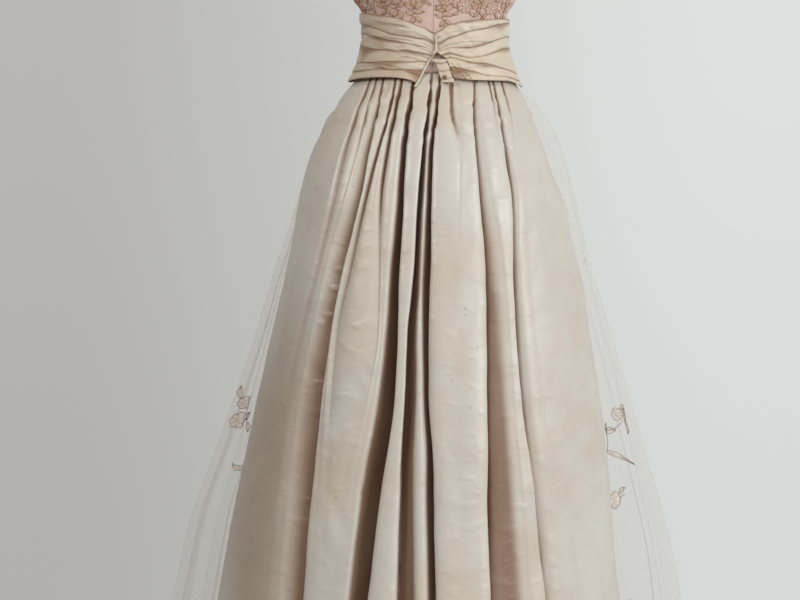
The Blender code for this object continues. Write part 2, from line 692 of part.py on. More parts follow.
def build_binding(rows):
    """The round bound edge that runs down the sash's left end."""
    edge = [row[-1] for row in rows if row[-1].z < BINDING_TOP]
    path = []
    for index, place in enumerate(edge):
        before = edge[max(index - 1, 0)]
        after = edge[min(index + 1, len(edge) - 1)]
        along = (after - before).normalized()
        beside = Vector((along.z, 0, -along.x))
        path.append(place + beside * (BINDING_RADIUS + BINDING_GAP) + Vector((0, -SASH_WALL / 2, 0)))
    tail = path[0] + Vector((-0.0035, -0.0025, -0.006))
    curve = bpy.data.curves.new("sash_binding", "CURVE")
    curve.dimensions = "3D"
    curve.bevel_depth = BINDING_RADIUS
    curve.bevel_resolution = 1
    curve.use_fill_caps = True
    spline = curve.splines.new("POLY")
    spline.points.add(len(path))
    for point, place in zip(spline.points, [tail] + path):
        point.co = (*place, 1)
    made = bpy.data.objects.new("sash_binding", curve)
    made.data.materials.append(material("sash_satin"))
    gown.objects.link(made)


def build_tab():
    """The ruched fastening strip that shows beside the sash's right end, and its press stud."""
    strip_rows = 4 * TAB_PLEATS + 1
    columns = 5
    heights, sides = zip(*TAB_LEFT_SIDE)
    end_heights, end_sides = zip(*SASH_RIGHT_END)
    sheet = []
    for row in range(strip_rows):
        share = row / (strip_rows - 1)
        height = TAB_BOTTOM + share * (TAB_TOP - TAB_BOTTOM)
        left = np.interp(height / MM, heights, sides) * MM
        right = np.interp(height / MM, end_heights, end_sides) * MM - 2.2 * SASH_WALL
        pleat = (1 - math.cos(2 * math.pi * TAB_PLEATS * share)) / 2
        points = []
        for column in range(columns):
            across = column / (columns - 1)
            side = left + across * (right - left)
            bow = 0.0012 * (1 - (2 * across - 1) ** 2) + 0.0014 * pleat
            points.append(Vector((side, -sash_front_depth(height, bow), height)))
        sheet.append(points)
    cloth("sash_tab", sheet, SASH_WALL, "sash_satin", outward=True)
    bpy.ops.mesh.primitive_cylinder_add(vertices=20, radius=SNAP_RADIUS, depth=SNAP_THICK)
    stud = bpy.context.object
    stud.name = "snap"
    depth = sash_front_depth(SNAP_PLACE[1], SNAP_OUT) + SASH_WALL + SNAP_THICK / 2 + SEAM
    stud.location = (SNAP_PLACE[0], -depth, SNAP_PLACE[1])
    stud.rotation_euler = (math.radians(90), 0, 0)
    stud.data.materials.append(material("metal"))
    for old in list(stud.users_collection):
        old.objects.unlink(stud)
    gown.objects.link(stud)
    bevel = stud.modifiers.new("rim", "BEVEL")
    bevel.width = SNAP_THICK / 3
    bevel.segments = 1
    bevel.limit_method = "ANGLE"


def spray_outline(lobes):
    """The turn and reach of each point of a spray's outline."""
    outline = []
    for lobe in lobes:
        for place, share in LOBE_FORMS[lobe.form]:
            turn = math.radians(lobe.turn + place * lobe.spread)
            outline.append((turn, lobe.reach * MM * (SPRAY_HEART + (1 - SPRAY_HEART) * share)))
    return outline


def seated(rows, surface, normal):
    """Moves the points of a flat sheet along the normal until it lies just off the surface, with no
    place between its points any closer."""

    def height(point):
        hit, _, _, _ = surface.ray_cast(point + normal * SPRAY_REACH, -normal)
        return (hit - point).dot(normal) + SPRAY_GAP

    heights = [[height(point) for point in row] for row in rows]
    samples = []
    for row in range(len(rows) - 1):
        for column in range(len(rows[0]) - 1):
            corners = [(row, column), (row, column + 1), (row + 1, column), (row + 1, column + 1)]
            for up in SEATING_SHARES:
                for side in SEATING_SHARES:
                    shares = [(1 - up) * (1 - side), (1 - up) * side, up * (1 - side), up * side]
                    place = Vector()
                    for (r, c), share in zip(corners, shares):
                        place += rows[r][c] * share
                    samples.append((corners, shares, height(place)))
    for _ in range(SEATING_ROUNDS):
        for corners, shares, needed in samples:
            has = sum(heights[r][c] * share for (r, c), share in zip(corners, shares))
            for r, c in corners:
                heights[r][c] += max(needed - has, 0.0)
        heights[0] = [max(heights[0])] * len(rows[0])
        for row in heights:
            row[0] = row[-1] = max(row[0], row[-1])
    return [[point + normal * up for point, up in zip(row, line)] for row, line in zip(rows, heights)]


def build_spray(name, outline, middle, normal, carrier):
    """A flat piece of lace laid on its carrier's outer face, looked up along the middle's normal."""
    across = Vector((0, 0, 1)).cross(normal).normalized()
    upward = normal.cross(across)
    surface = BVHTree.FromObject(carrier, bpy.context.evaluated_depsgraph_get())
    rows = []
    for ring in SPRAY_RINGS:
        around = [across * math.cos(turn) * reach + upward * math.sin(turn) * reach for turn, reach in outline]
        rows.append([middle + way * ring for way in around + around[:1]])
    made = cloth(name, seated(rows, surface, normal), LACE_WALL, "lace", outward=True)
    bm = bmesh.new()
    bm.from_mesh(made.data)
    bmesh.ops.remove_doubles(bm, verts=bm.verts, dist=SEAM_EDGE / 2)
    bmesh.ops.recalc_face_normals(bm, faces=bm.faces)
    bm.to_mesh(made.data)
    bm.free()


def build_lace():
    bpy.context.view_layer.update()
    overskirt = bpy.data.objects["overskirt"]
    for sprig in OVERSKIRT_SPRIGS:
        drop = sprig.drop * MM
        column = int(sprig.column)
        points = overskirt_section(drop)
        below = overskirt_section(drop + SPRAY_STEP)
        middle = points[column].lerp(points[column + 1], sprig.column - column)
        along = points[column + 1] - points[column - 1]
        normal = (below[column] - points[column]).cross(along).normalized()
        build_spray(sprig.node, spray_outline(SPRAYS[sprig.outline]), middle, normal, overskirt)
    for spray in BODICE_SPRAYS:
        angle = math.radians(spray.turn)
        middle = bodice_point(angle, spray.height * MM, 0.0)
        normal = (bodice_point(angle, spray.height * MM, SPRAY_STEP) - middle).normalized()
        carrier = bpy.data.objects[spray.over]
        build_spray(spray.node, spray_outline(SPRAYS[spray.outline]), middle, normal, carrier)


for old in list(bpy.data.objects):
    bpy.data.objects.remove(old)

gown = bpy.data.collections.new("evening_gown")
bpy.context.scene.collection.children.link(gown)

build_satin()
build_overskirt()
build_bodice()
build_sash()
build_lace()
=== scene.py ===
"""The finished look of the evening gown on its fixed frame: satin skirt, tulle overskirt, lace-trimmed
bodice and ruched sash, each a thin shell on its solid's form. Metres, tables in millimetres."""

import math
from collections import namedtuple

import bpy
import numpy as np
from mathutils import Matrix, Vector


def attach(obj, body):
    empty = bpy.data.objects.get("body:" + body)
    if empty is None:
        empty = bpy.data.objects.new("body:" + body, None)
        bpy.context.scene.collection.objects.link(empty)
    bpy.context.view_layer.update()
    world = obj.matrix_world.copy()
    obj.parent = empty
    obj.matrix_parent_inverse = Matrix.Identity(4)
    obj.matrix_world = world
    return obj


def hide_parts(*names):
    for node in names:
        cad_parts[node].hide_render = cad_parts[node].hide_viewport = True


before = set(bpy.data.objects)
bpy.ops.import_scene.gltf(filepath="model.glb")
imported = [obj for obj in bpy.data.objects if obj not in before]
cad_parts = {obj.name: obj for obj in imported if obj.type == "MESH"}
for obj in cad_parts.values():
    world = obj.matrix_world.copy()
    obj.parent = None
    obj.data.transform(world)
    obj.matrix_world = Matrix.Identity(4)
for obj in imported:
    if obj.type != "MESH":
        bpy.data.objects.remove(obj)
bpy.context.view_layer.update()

MM = 0.001
HEM_DROP = 1.060
SKIRT_TOP_DROP = 0.0008
SIDE_SEAM_ANGLE = 0.12
SIDE_SEAM_DEPTH = 0.003
CLOTH = 0.0008
LINING_WALL = 0.0015
SHEER_GAP = 0.0003
SASH_WALL = 0.0018
SEAM_EDGE = 0.0002
SATIN_ROWS = 128
FRONT_SPACING = 0.0036
BACK_SPACING = 0.0056
ROUND_THE_FOLDS = 1.35
NET_CELL = 0.0011
# Soft swells of the satin: the least and most length of each kind, and its height.
SWELLS = 14
BROAD_SWELL = ((0.09, 0.30), 0.0011)
FINE_SWELL = ((0.030, 0.075), 0.00022)
CRUMPLES = ((0.016, 0.045), 0.0013)
CRUMPLES_DOWN = (0.06, 0.055)
GATHER_WIDTH = 0.0085
GATHER_HEIGHT = 0.0006
GATHER_LENGTH = 0.022
MOST_LIFT = 0.004

# Half widths and depths of the satin skirt at each drop, measured from the origin's axis.
SATIN_OUTLINE = {
    "drop": (0, 12, 40, 80, 120, 160, 200, 260, 320, 400, 500, 600, 700, 820, 1060),
    "left": (120, 131, 154, 176, 194, 206, 215, 225, 238, 256, 279, 299, 320, 340, 386),
    "right": (120, 128, 144, 158, 175, 190, 204, 217, 229, 242, 258, 270, 278, 290, 319),
    "front": (82, 91, 104, 117, 128, 138, 147, 159, 170, 184, 201, 218, 234, 254, 296),
    "back": (86, 96, 112, 132, 150, 166, 180, 194, 205, 217, 232, 247, 262, 281, 318),
}

PLACE_DROPS = (0, 60, 120, 200, 300, 400, 500, 600, 800, 1060)
SIZE_DROPS = (0, 25, 60, 150, 300, 600, 1060)
# lean is 1 where the right lip hangs over the valley and -1 where the left one does.
Fold = namedtuple("Fold", "name places widths depths slopes lean columns")
FRONT_FOLDS = [
    Fold("side_trough", (-98, -121, -140, -158, -182, -206, -226, -240, -262, -290),
         (3, 3, 4, 8, 10, 10, 10), (2, 4, 6, 5, 2, 0, 0), (1, 1, 2, 3, 3, 3, 3), 0.0, 3),
    Fold("side_tuck", (-89, -107, -121, -143, -171, -193, -211, -224, -243, -264),
         (2,) * 7, (2, 4, 5, 1, 0, 0, 0), (1,) * 7, 0.0, 3),
    Fold("left_pleat", (-79, -90, -103, -117, -142, -160, -175, -185, -201, -219),
         (2, 2, 2, 3, 3, 4, 4), (2, 6, 9, 13, 16, 18, 15), (2, 3, 5, 13, 22, 26, 26), 1.0, 5),
    Fold("left_tuck", (-60, -71, -88, -108, -129, -150, -158, -163, -176, -195),
         (2, 3, 3, 3, 4, 4, 4), (2, 6, 9, 9, 6, 0, 0), (1, 2, 3, 6, 10, 10, 10), 0.5, 3),
    Fold("inner_tuck", (-50, -62, -74, -84, -87, -89, -106, -127, -150, -180),
         (2, 3, 4, 4, 5, 5, 5), (2, 8, 11, 9, 3, 0, 0), (1, 2, 3, 4, 8, 8, 8), 0.5, 3),
    Fold("wide_pleat", (-30, -41, -49, -55, -62, -67, -75, -92, -118, -154),
         (3, 4, 5, 7, 10, 24, 24), (2, 11, 18, 27, 34, 44, 46), (2, 2, 2, 3, 4, 4, 4), 0.7, 5),
    Fold("centre_pleat", (-6, -12, -19, -25, -31, -39, -41, -45, -49, -55),
         (2, 3, 3, 4, 6, 17, 36), (2, 7, 12, 18, 22, 28, 26), (1, 1, 1, 2, 3, 3, 3), -0.8, 5),
    Fold("right_pleat", (8, 1, -7, -11, -14, -15, -15, -11, -7, -4),
         (2, 3, 3, 4, 6, 8, 9), (2, 8, 14, 19, 23, 25, 22), (1, 2, 2, 2, 3, 3, 3), 1.0, 5),
    Fold("waist_dart", (23, 24, 36, 34, 32, 32, 33, 35, 38, 42),
         (3, 5, 6, 3, 3, 3, 3), (2, 5, 6, 1, 0, 0, 0), (1,) * 7, 0.0, 3),
    Fold("ridge_edge", (60, 58, 62, 68, 76, 78, 78, 79, 81, 85),
         (2, 2, 2, 3, 6, 6, 6), (2, 5, 8, 11, 16, 22, 26), (2, 4, 6, 10, 22, 40, 68), -1.0, 5),
    Fold("outer_tuck", (79, 91, 96, 105, 110, 115, 122, 134, 155, 183),
         (2,) * 7, (2, 4, 3, 0, 0, 0, 0), (1,) * 7, 0.0, 3),
    Fold("outer_pleat", (86, 98, 107, 117, 118, 123, 131, 143, 165, 195),
         (2, 2, 2, 3, 3, 3, 4), (2, 6, 8, 10, 10, 9, 9), (1, 2, 3, 6, 8, 8, 10), -0.6, 5),
    Fold("right_tuck", (99, 115, 124, 137, 144, 152, 162, 176, 200, 232),
         (2,) * 7, (2, 4, 3, 0, 0, 0, 0), (1,) * 7, 0.0, 3),
]
CENTRE_SEAM_FOLD = "centre_pleat"
HARD_LIP = 0.0015
UNDERCUT = 0.0025
LEAST_RIDGE = 0.0016
CROWN_SHARE = 0.11
CROWN_MOST = 0.006
CROWN_STARTS = 0.015
CROWN_FULL = 0.090

SHUT_DEPTH = 0.006
USUAL_DEPTHS = (1.2, 3.0, 5.0, 8.0, 10.0, 13.0, 14.0)

BACK_FOLDS = 9
BACK_FOLD_SHIFT = 0.16
BACK_FOLD_DEPTHS = (2, 5, 8, 12, 16, 20, 22)
BACK_FOLD_WIDTHS = (3, 4, 5, 7, 11, 18, 24)

OVERSKIRT_OUTLINE = {
    "drop": (0, 12, 30, 80, 120, 200, 300, 400, 500, 600, 700, 800, 1060),
    "left": (118, 128, 144, 178, 196, 219, 252, 281, 314, 349, 385, 407, 458),
    "right": (118, 124.5, 154, 190, 206, 226, 250, 279, 308, 336, 364, 386, 413),
    "back": (88, 98, 116, 150, 171, 203, 239, 276, 316, 358, 400, 436, 500),
    "middle": (24, 26, 30, 38, 44, 55, 68, 80, 90, 100, 108, 115, 125),
}
OVERSKIRT_EDGE_ANGLE = 0.19
OVERSKIRT_EDGE_CLEARANCE = (0.0014, 0.009)
OVERSKIRT_EDGE_SHARE = 0.09
OVERSKIRT_WAVES = 14
OVERSKIRT_ROWS = 100
OVERSKIRT_COLUMNS = 520
OVERSKIRT_WAVE = (0.0004, 0.017)

BODICE_FORM = {
    "height": (-30, 0, 30, 60, 80, 100, 122, 160, 200, 240, 280),
    "side": (118.5, 117.5, 112.5, 108.5, 108.5, 111.5, 125.0, 139.0, 147.0, 147.0, 144.0),
    "front": (80.0, 79.0, 77.5, 77.5, 79.0, 82.5, 89.0, 97.0, 102.0, 101.0, 96.0),
    "back": (83.5, 82.5, 82.0, 82.5, 84.0, 86.5, 91.0, 97.0, 102.0, 104.0, 105.0),
}
CUP_SIDE = 0.072
CUP_HEIGHT = 0.192
CUP_RISE = 0.027
CUP_SPREAD = 0.042
CENTRE_SEAM_SIDE = -0.004
SIDE_FRONT_SEAM = ((0, 80), (110, 95), (200, 106), (280, 112))
TOP_EDGE_CENTRE = 0.232
TOP_EDGE_CUP = 0.266
TOP_EDGE_SIDE = 0.240
TOP_EDGE_BACK = 0.215

# The sash's lower and upper edge at each place across, and how far up between them its pleats lie.
Station = namedtuple("Station", "side bottom top c1 c2 c3 c4 c5")
SASH_LEFT = [
    Station(-18, -19, 70, 0.25, 0.41, 0.55, 0.66, 0.80),
    Station(-45, -10, 79, 0.17, 0.30, 0.50, 0.62, 0.74),
    Station(-66, -7, 86, 0.13, 0.27, 0.455, 0.61, 0.71),
    Station(-93, -6, 93, 0.137, 0.245, 0.455, 0.65, 0.77),
    Station(-118, -6, 100, 0.13, 0.25, 0.52, 0.71, 0.86),
]
SASH_RIGHT = [
    Station(20, -10, 74, 0.22, 0.40, 0.48, 0.57, 0.76),
    Station(52, -12, 81, 0.165, 0.31, 0.38, 0.555, 0.82),
    Station(75, -11, 84, 0.08, 0.28, 0.41, 0.60, 0.85),
    Station(100, -10, 86, 0.07, 0.20, 0.52, 0.683, 0.93),
    Station(118, -14, 91, 0.07, 0.17, 0.57, 0.75, 0.95),
]
SASH_BACK = Station(0, -2, 94, 0.16, 0.33, 0.50, 0.67, 0.84)
SASH_TOP_AT_CENTRE = 0.061
SASH_SIDE_TURN = 2.5
SASH_STANDOFF = ((0.0, 16.0), (0.12, 10.0), (0.25, 8.2), (0.4, 5.8), (0.6, 4.8), (0.85, 4.9), (1.0, 5.2))
SASH_PLEAT_RISE = 0.0034
SASH_GATHERS = 0.0030
SASH_FINE_GATHERS = 0.0005
SASH_SWELL = ((0.025, 0.07), 0.0007)
SASH_CRUMPLE = ((0.03, 0.08), 0.00035)
SASH_PLEAT_ROWS = 15
SASH_HALF_COLUMNS = 120
SASH_BACK_COLUMNS = 100
SASH_LEFT_END = ((-24, -32), (-15, -27.4), (3, -19.8), (21, -11.2), (32, -0.6), (62, -0.4))
SASH_RIGHT_END = (
    (-24, 29), (-10.5, 26.2), (-5, 23.1), (7, 20.0), (16, 17.0), (23.5, 12.4), (31, 0.4), (62, 0.2),
)
BINDING_RADIUS = 0.0015
BINDING_GAP = 0.0010
BINDING_TOP = 0.0275
TAB_LEFT_SIDE = ((-17, 9.5), (-1, 4.4), (11, 1.4), (21, -7.5))
TAB_BOTTOM = -0.0165
TAB_TOP = 0.0200
TAB_PLEATS = 3

# Soft creases of the satin: how wide each is and how far it stands out, then its points across the
# skirt and below the waist. A crease below zero is a trough.
FRONT_CREASES = [
    (3.0, -1.6, (-70, 9), (-85, 45)), (3.0, -1.4, (31, 15), (36, 58)),
    (8.0, 1.6, (155, 122), (156, 210), (158, 304)), (9.0, -1.6, (179, 122), (181, 210), (185, 304)),
    (6.0, -1.6, (198, 311), (199, 323)), (7.0, 1.5, (188, 540), (196, 635), (253, 736)),
    (5.0, 1.2, (217, 552), (233, 579)), (4.5, -1.3, (-114, 457), (-100, 464), (-89, 468)),
    (5.0, -1.4, (-127, 473), (-117, 483), (-107, 492)), (6.0, 1.4, (-163, 540), (-159, 558)),
    (6.0, -1.1, (-163, 627), (-148, 660), (-133, 698)), (6.0, 0.9, (-170, 660), (-158, 690), (-148, 716)),
    (4.0, -1.6, (-112, 625), (-108, 640)), (9.0, 1.5, (-226, 496), (-232, 600), (-248, 700)),
    (10.0, -1.0, (20, 560), (34, 640), (30, 730)), (12.0, 0.9, (52, 380), (46, 470), (50, 560)),
    (10.0, -0.7, (10, 230), (22, 300), (20, 380)), (9.0, -1.0, (120, 470), (128, 560), (131, 660)),
    (12.0, 1.2, (-10, 820), (24, 880), (40, 960)), (12.0, -1.4, (-260, 820), (-240, 900), (-236, 1010)),
    (11.0, 1.4, (230, 860), (214, 930), (236, 1020)),
]
BACK_CREASES = [
    (9.0, 1.5, (-150, 150), (-158, 230), (-160, 330)), (10.0, -1.3, (60, 210), (78, 300), (84, 390)),
    (10.0, 1.3, (-70, 430), (-40, 520), (-52, 610)), (9.0, 1.4, (190, 520), (176, 610), (204, 720)),
    (9.0, -1.4, (-210, 640), (-196, 700), (-224, 800)), (12.0, 1.2, (10, 700), (30, 790), (18, 900)),
    (11.0, -1.4, (120, 860), (110, 940), (128, 1010)),
]

# Painted shade on the satin, given as creases are: lines along which its colour is darkened where the folds
# and side panels lie in shade.
FRONT_PAINTED_SHADE = [
    (11.0, 0.45, (84, 350), (90, 496), (100, 644), (113, 791), (125, 1000)),
    (60.0, 0.50, (-200, 200), (-228, 420), (-270, 680), (-312, 1060)),
    (14.0, 0.30, (-170, 620), (-186, 760), (-200, 1000)), (12.0, 0.18, (56, 260), (62, 480), (60, 760)),
    (7.0, 0.16, (-62, 90), (-80, 160), (-98, 250)), (8.0, 0.22, (104, 120), (112, 260), (116, 420)),
    (26.0, 0.18, (200, 500), (214, 700), (250, 1000)),
]
BACK_PAINTED_SHADE = [
    (24.0, 0.22, (-150, 300), (-170, 560), (-210, 900)), (20.0, 0.20, (40, 420), (56, 660), (64, 940)),
    (22.0, 0.20, (180, 260), (214, 520), (240, 860)),
]

# Small marks on the satin: across, up and size. They lie at the depth of the front.
STAIN_DEPTH = -0.16
STAIN_FLATNESS = 0.02
STAINS = (
    (-143, -153, 2.6), (-124, -157, 2.0), (-127, -176, 2.2), (-120, -171, 1.8), (42, -362, 2.4),
    (43, -371, 2.0), (60, -418, 2.0), (22, -468, 2.2), (49, -508, 2.4), (-205, -340, 2.0), (118, -560, 2.0),
    (-150, -640, 2.4),
)

# The parts of each lace spray round its middle, in millimetres. A flower has its middle, size and
# turn in degrees, a leaf or stem its two ends.
SPRAYS = {
    "sprig": (
        ("flower", 3, 18, 11, 20), ("flower", 2, -12, 14, 50), ("leaf", -5, 25, -12, 47),
        ("stem", 10, 8, 33, -12), ("stem", 14, -11, 31, -12), ("leaf", 30, -12, 35, 3),
        ("leaf", 34, -14, 38, -30),
    ),
    "cluster": (
        ("flower", 2, 17, 11, 0), ("leaf", 25, 28, 15, -16), ("leaf", 10, 25, 23, 33),
        ("stem", 10, 6, -24, -8), ("leaf", -30, -13, -6, -9), ("stem", -31, -10, -37, -42),
        ("leaf", -31, -12, -26, 4),
        ("leaf", -45, -83, -44, -63), ("ribbon", -48, -42, 15, -65),
    ),
    "bloom": (("flower", -22, 0, 15, 10), ("leaf", -8, 10, 4, 20), ("stem", -9, 2, 2, 8)),
    "bouquet": (
        ("flower", 20, 8, 12, 20), ("leaf", 4, 14, 14, 48), ("flower", -15, 21, 13, 126),
        ("leaf", -8, -3, -35, -7), ("flower", -13, -30, 13, 66), ("leaf", 8, -12, 24, -41),
        ("leaf", -3, -6, -28, -20), ("leaf", 8, 20, 33, 30), ("stem", 0, 0, 10, 4), ("stem", 0, 0, -8, 11),
        ("stem", 0, 0, -8, -19), ("stem", 0, 0, 5, 16), ("stem", 0, 0, 8, -14),
    ),
    "branch": (
        ("leaf", 5, 2, 19, 7), ("flower", 3, 25, 13, 84), ("leaf", -5, 2, -19, 7),
        ("flower", -10, -28, 13, 70), ("leaf", 6, -9, 18, -27), ("stem", 0, -6, 2, 14),
        ("stem", 0, -6, -6, -17), ("leaf", -2, 4, -14, 16),
    ),
    "twig": (
        ("flower", 0, 11, 9, 90), ("leaf", 2, -2, 15, 6), ("leaf", -2, -2, -15, 5), ("leaf", 1, -6, 5, -22),
        ("leaf", -1, -6, -12, -17), ("stem", 1, -8, 0, 4),
    ),
    "fern": (
        ("leaf", 0, 2, 3, 21), ("leaf", 1, 0, 15, 10), ("leaf", -1, 0, -14, 11), ("leaf", 1, -7, 15, -5),
        ("leaf", -1, -7, -15, -4), ("leaf", 1, -12, 9, -23), ("leaf", -1, -12, -8, -24),
        ("stem", 0, -22, 0, 3),
    ),
    "rose": (("flower", 0, 0, 12, 10), ("leaf", 9, -9, 19, -16), ("leaf", -8, -10, -18, -19)),
}
# Each spray's pattern and hand, its place, and the solid that it stands for. On the overskirt the place
# is counted in parts of its width and down from the waist, on the bodice in degrees round it and up.
OVERSKIRT_PARTS = 56
LOOSE_BEADS = {"sprig_left": ((-58, -107), (10, -249)), "sprig_right_low": ((-44, -160), (-13, -154))}
OVERSKIRT_SPRAYS = [
    ("sprig", 1, 52.4, 530, "sprig_left"), ("cluster", 1, 2.25, 548, "sprig_right"),
    ("bloom", 1, 1.75, 668, "sprig_right_low"), ("sprig", -1, 16, 560, "sprig_back_right"),
    ("sprig", 1, 28, 600, "sprig_back"), ("sprig", 1, 40, 560, "sprig_back_left"),
]
BODICE_SPRAYS = {
    "bodice_tulle_left": [
        ("bouquet", 1, 66, 158, "lace_left"), ("branch", 1, 32, 150, "lace_left_side"), ("fern", 1, 73, 99),
        ("rose", 1, 77, 118), ("twig", 1, 59, 104), ("fern", -1, 47, 112), ("rose", 1, 84.5, 141),
        ("fern", 1, 82, 170), ("twig", -1, 84, 204), ("fern", 1, 50, 214), ("twig", 1, 12, 118),
        ("fern", -1, 10, 190), ("twig", 1, 71, 226), ("rose", -1, 24, 212), ("rose", -1, 47, 180),
        ("rose", -1, 25, 112), ("rose", 1, 13, 152),
    ],
    "bodice_tulle_right": [
        ("bouquet", 1, 109, 158, "lace_right"), ("branch", 1, 148, 150, "lace_right_side"),
        ("rose", 1, 98, 114), ("fern", 1, 97, 94), ("rose", -1, 113, 104), ("fern", 1, 126, 108),
        ("rose", 1, 139, 103), ("fern", -1, 158, 106), ("twig", 1, 98, 206), ("fern", -1, 128, 214),
        ("rose", 1, 95.5, 140), ("fern", 1, 168, 190), ("twig", -1, 111, 228), ("rose", 1, 152, 214),
        ("rose", 1, 131, 180), ("rose", -1, 167, 146), ("fern", -1, 97, 172),
    ],
    "bodice_tulle_back": [
        ("bouquet", 1, 299, 158, "lace_back_left"), ("bouquet", 1, 241, 158, "lace_back_right"),
        ("fern", 1, 200, 120), ("twig", -1, 204, 186), ("rose", 1, 220, 202), ("rose", -1, 268, 122),
        ("fern", 1, 270, 172), ("rose", -1, 322, 198), ("fern", 1, 338, 124), ("twig", -1, 344, 180),
        ("fern", 1, 296, 206), ("twig", 1, 222, 118), ("rose", 1, 318, 120), ("twig", 1, 252, 208),
        ("rose", 1, 190, 150), ("rose", 1, 352, 150), ("rose", 1, 285, 118),
    ],
}
LACE_OUT = 0.0006
CORD_RADIUS = 0.00042
BEAD_RADIUS = 0.0011
LEAF_WIDE = 0.2
RIBBON_WIDE = 0.05
FLOOR_SIDES = 96
FLOOR_RADIUS = 1.15
FLOOR_GAP = 0.012
SENSOR_WIDTH = 36.0
CAMERA_AWAY = 3.5
VIEW_WIDTH = 1.256


def smooth_step(x):
    x = np.clip(x, 0.0, 1.0)
    return x * x * (3 - 2 * x)


def curve_through(at, keys, values):
    """A smooth curve through a table's rows that never swings past them."""
    keys = np.asarray(keys, float)
    values = np.asarray(values, float)
    steps = np.diff(keys)
    slopes = np.diff(values) / steps
    tangents = np.concatenate([slopes[:1], np.zeros(len(slopes) - 1), slopes[-1:]])
    same_way = slopes[:-1] * slopes[1:] > 0
    one, two = slopes[:-1][same_way], slopes[1:][same_way]
    tangents[1:-1][same_way] = 2 * one * two / (one + two)
    at = np.clip(at, keys[0], keys[-1])
    index = np.clip(np.searchsorted(keys, at) - 1, 0, len(keys) - 2)
    t = (at - keys[index]) / steps[index]
    return (
        values[index] * (1 + 2 * t) * (1 - t) ** 2
        + values[index + 1] * t * t * (3 - 2 * t)
        + tangents[index] * steps[index] * t * (1 - t) ** 2
        - tangents[index + 1] * steps[index] * t * t * (1 - t)
    )


def table_at(table, at, curve=curve_through):
    """The columns of a table at these places, which its first column gives."""
    places, *rest = table.values()
    return [curve(at / MM, places, column) * MM for column in rest]


def line_at(line, at):
    """A line of (place, value) points at these places."""
    return np.interp(at / MM, *zip(*line)) * MM


def ring_point(angle, left, right, front, back):
    """Points on a level ring and their outward normals."""
    centre = (right - left) / 2
    half = (right + left) / 2
    depth = np.where(np.sin(angle) >= 0, front, back)
    x = centre - half * np.cos(angle)
    y = -depth * np.sin(angle)
    nx = -np.cos(angle) / half
    ny = -np.sin(angle) / depth
    length = np.hypot(nx, ny)
    return x, y, nx / length, ny / length


def satin_points(angle, inward, drops):
    ring = [size[:, None] for size in table_at(SATIN_OUTLINE, drops)]
    x, y, nx, ny = ring_point(angle, *ring)
    return np.stack([x - nx * inward, y - ny * inward, 0 * x - drops[:, None]], -1)


def fold_profile(width, depth, slope, lean, columns):
    """Side and depth of each column of one fold, at every drop at once."""
    tilt = abs(lean)
    none = np.zeros_like(width)
    left = (-width / 2 - HARD_LIP - slope * tilt, none)
    right = (width / 2 + HARD_LIP * (1 - tilt), none)
    if columns == 3:
        profile = [left, (tilt * width / 2, depth), right]
    else:
        bottom = (tilt * (width / 2 + UNDERCUT), depth)
        left_wall = (-width / 4 * (1 + tilt), depth * (0.6 - 0.12 * tilt))
        right_wall = (width / 4 * (1 + tilt) + tilt * UNDERCUT * 0.8, depth * 0.55)
        profile = [left, left_wall, bottom, right_wall, right]
    if lean < 0:
        profile = [(-side, inward) for side, inward in reversed(profile)]
    return profile


def crown(width, drops):
    grown = smooth_step((drops - CROWN_STARTS) / (CROWN_FULL - CROWN_STARTS))
    return grown * np.minimum(CROWN_SHARE * width, CROWN_MOST)


def front_section(drops):
    """The front's key columns as (angle, inward, is_crown), and the index of the centre seam."""
    left, right, _, _ = table_at(SATIN_OUTLINE, drops)
    centre = (right - left) / 2
    half = (right + left) / 2

    def angle_at(side):
        return np.arccos(np.clip((centre - side) / half, -0.999, 0.999))

    folds = []
    for fold in FRONT_FOLDS:
        place = curve_through(drops / MM, PLACE_DROPS, fold.places) * MM
        rows = fold.widths, fold.depths, fold.slopes
        sizes = [curve_through(drops / MM, SIZE_DROPS, row) * MM for row in rows]
        profile = fold_profile(*sizes, fold.lean, fold.columns)
        folds.append([[place + side, inward] for side, inward in profile])
    for before, after in zip(folds, folds[1:]):
        middle = (after[0][0] + before[-1][0]) / 2
        tight = after[0][0] - before[-1][0] < LEAST_RIDGE
        before[-1][0] = np.where(tight, middle - LEAST_RIDGE / 2, before[-1][0])
        after[0][0] = np.where(tight, middle + LEAST_RIDGE / 2, after[0][0])
    none = np.zeros_like(drops)
    section = [(none - SIDE_SEAM_ANGLE, none + SIDE_SEAM_DEPTH, False)]
    section.append((none - SIDE_SEAM_ANGLE * 0.6, none, False))
    seam = None
    rises = [crown(after[0][0] - before[-1][0], drops) for before, after in zip(folds, folds[1:])]
    rises = [none] + rises + [none]
    for index, (fold, columns) in enumerate(zip(FRONT_FOLDS, folds)):
        if index:
            lip = folds[index - 1][-1][0]
            section.append((angle_at((lip + columns[0][0]) / 2), -rises[index], True))
        if fold.name == CENTRE_SEAM_FOLD:
            seam = len(section) + len(columns) // 2
        shut = 1 - smooth_step(max(columns, key=lambda pair: pair[1].max())[1] / SHUT_DEPTH)
        level = shut * (rises[index] + rises[index + 1]) / 2
        section += [(angle_at(side), inward - level, False) for side, inward in columns]
    end = none + math.pi + SIDE_SEAM_ANGLE
    section.append((end - SIDE_SEAM_ANGLE * 0.4, none, False))
    section.append((end, none + SIDE_SEAM_DEPTH, False))
    return section, seam


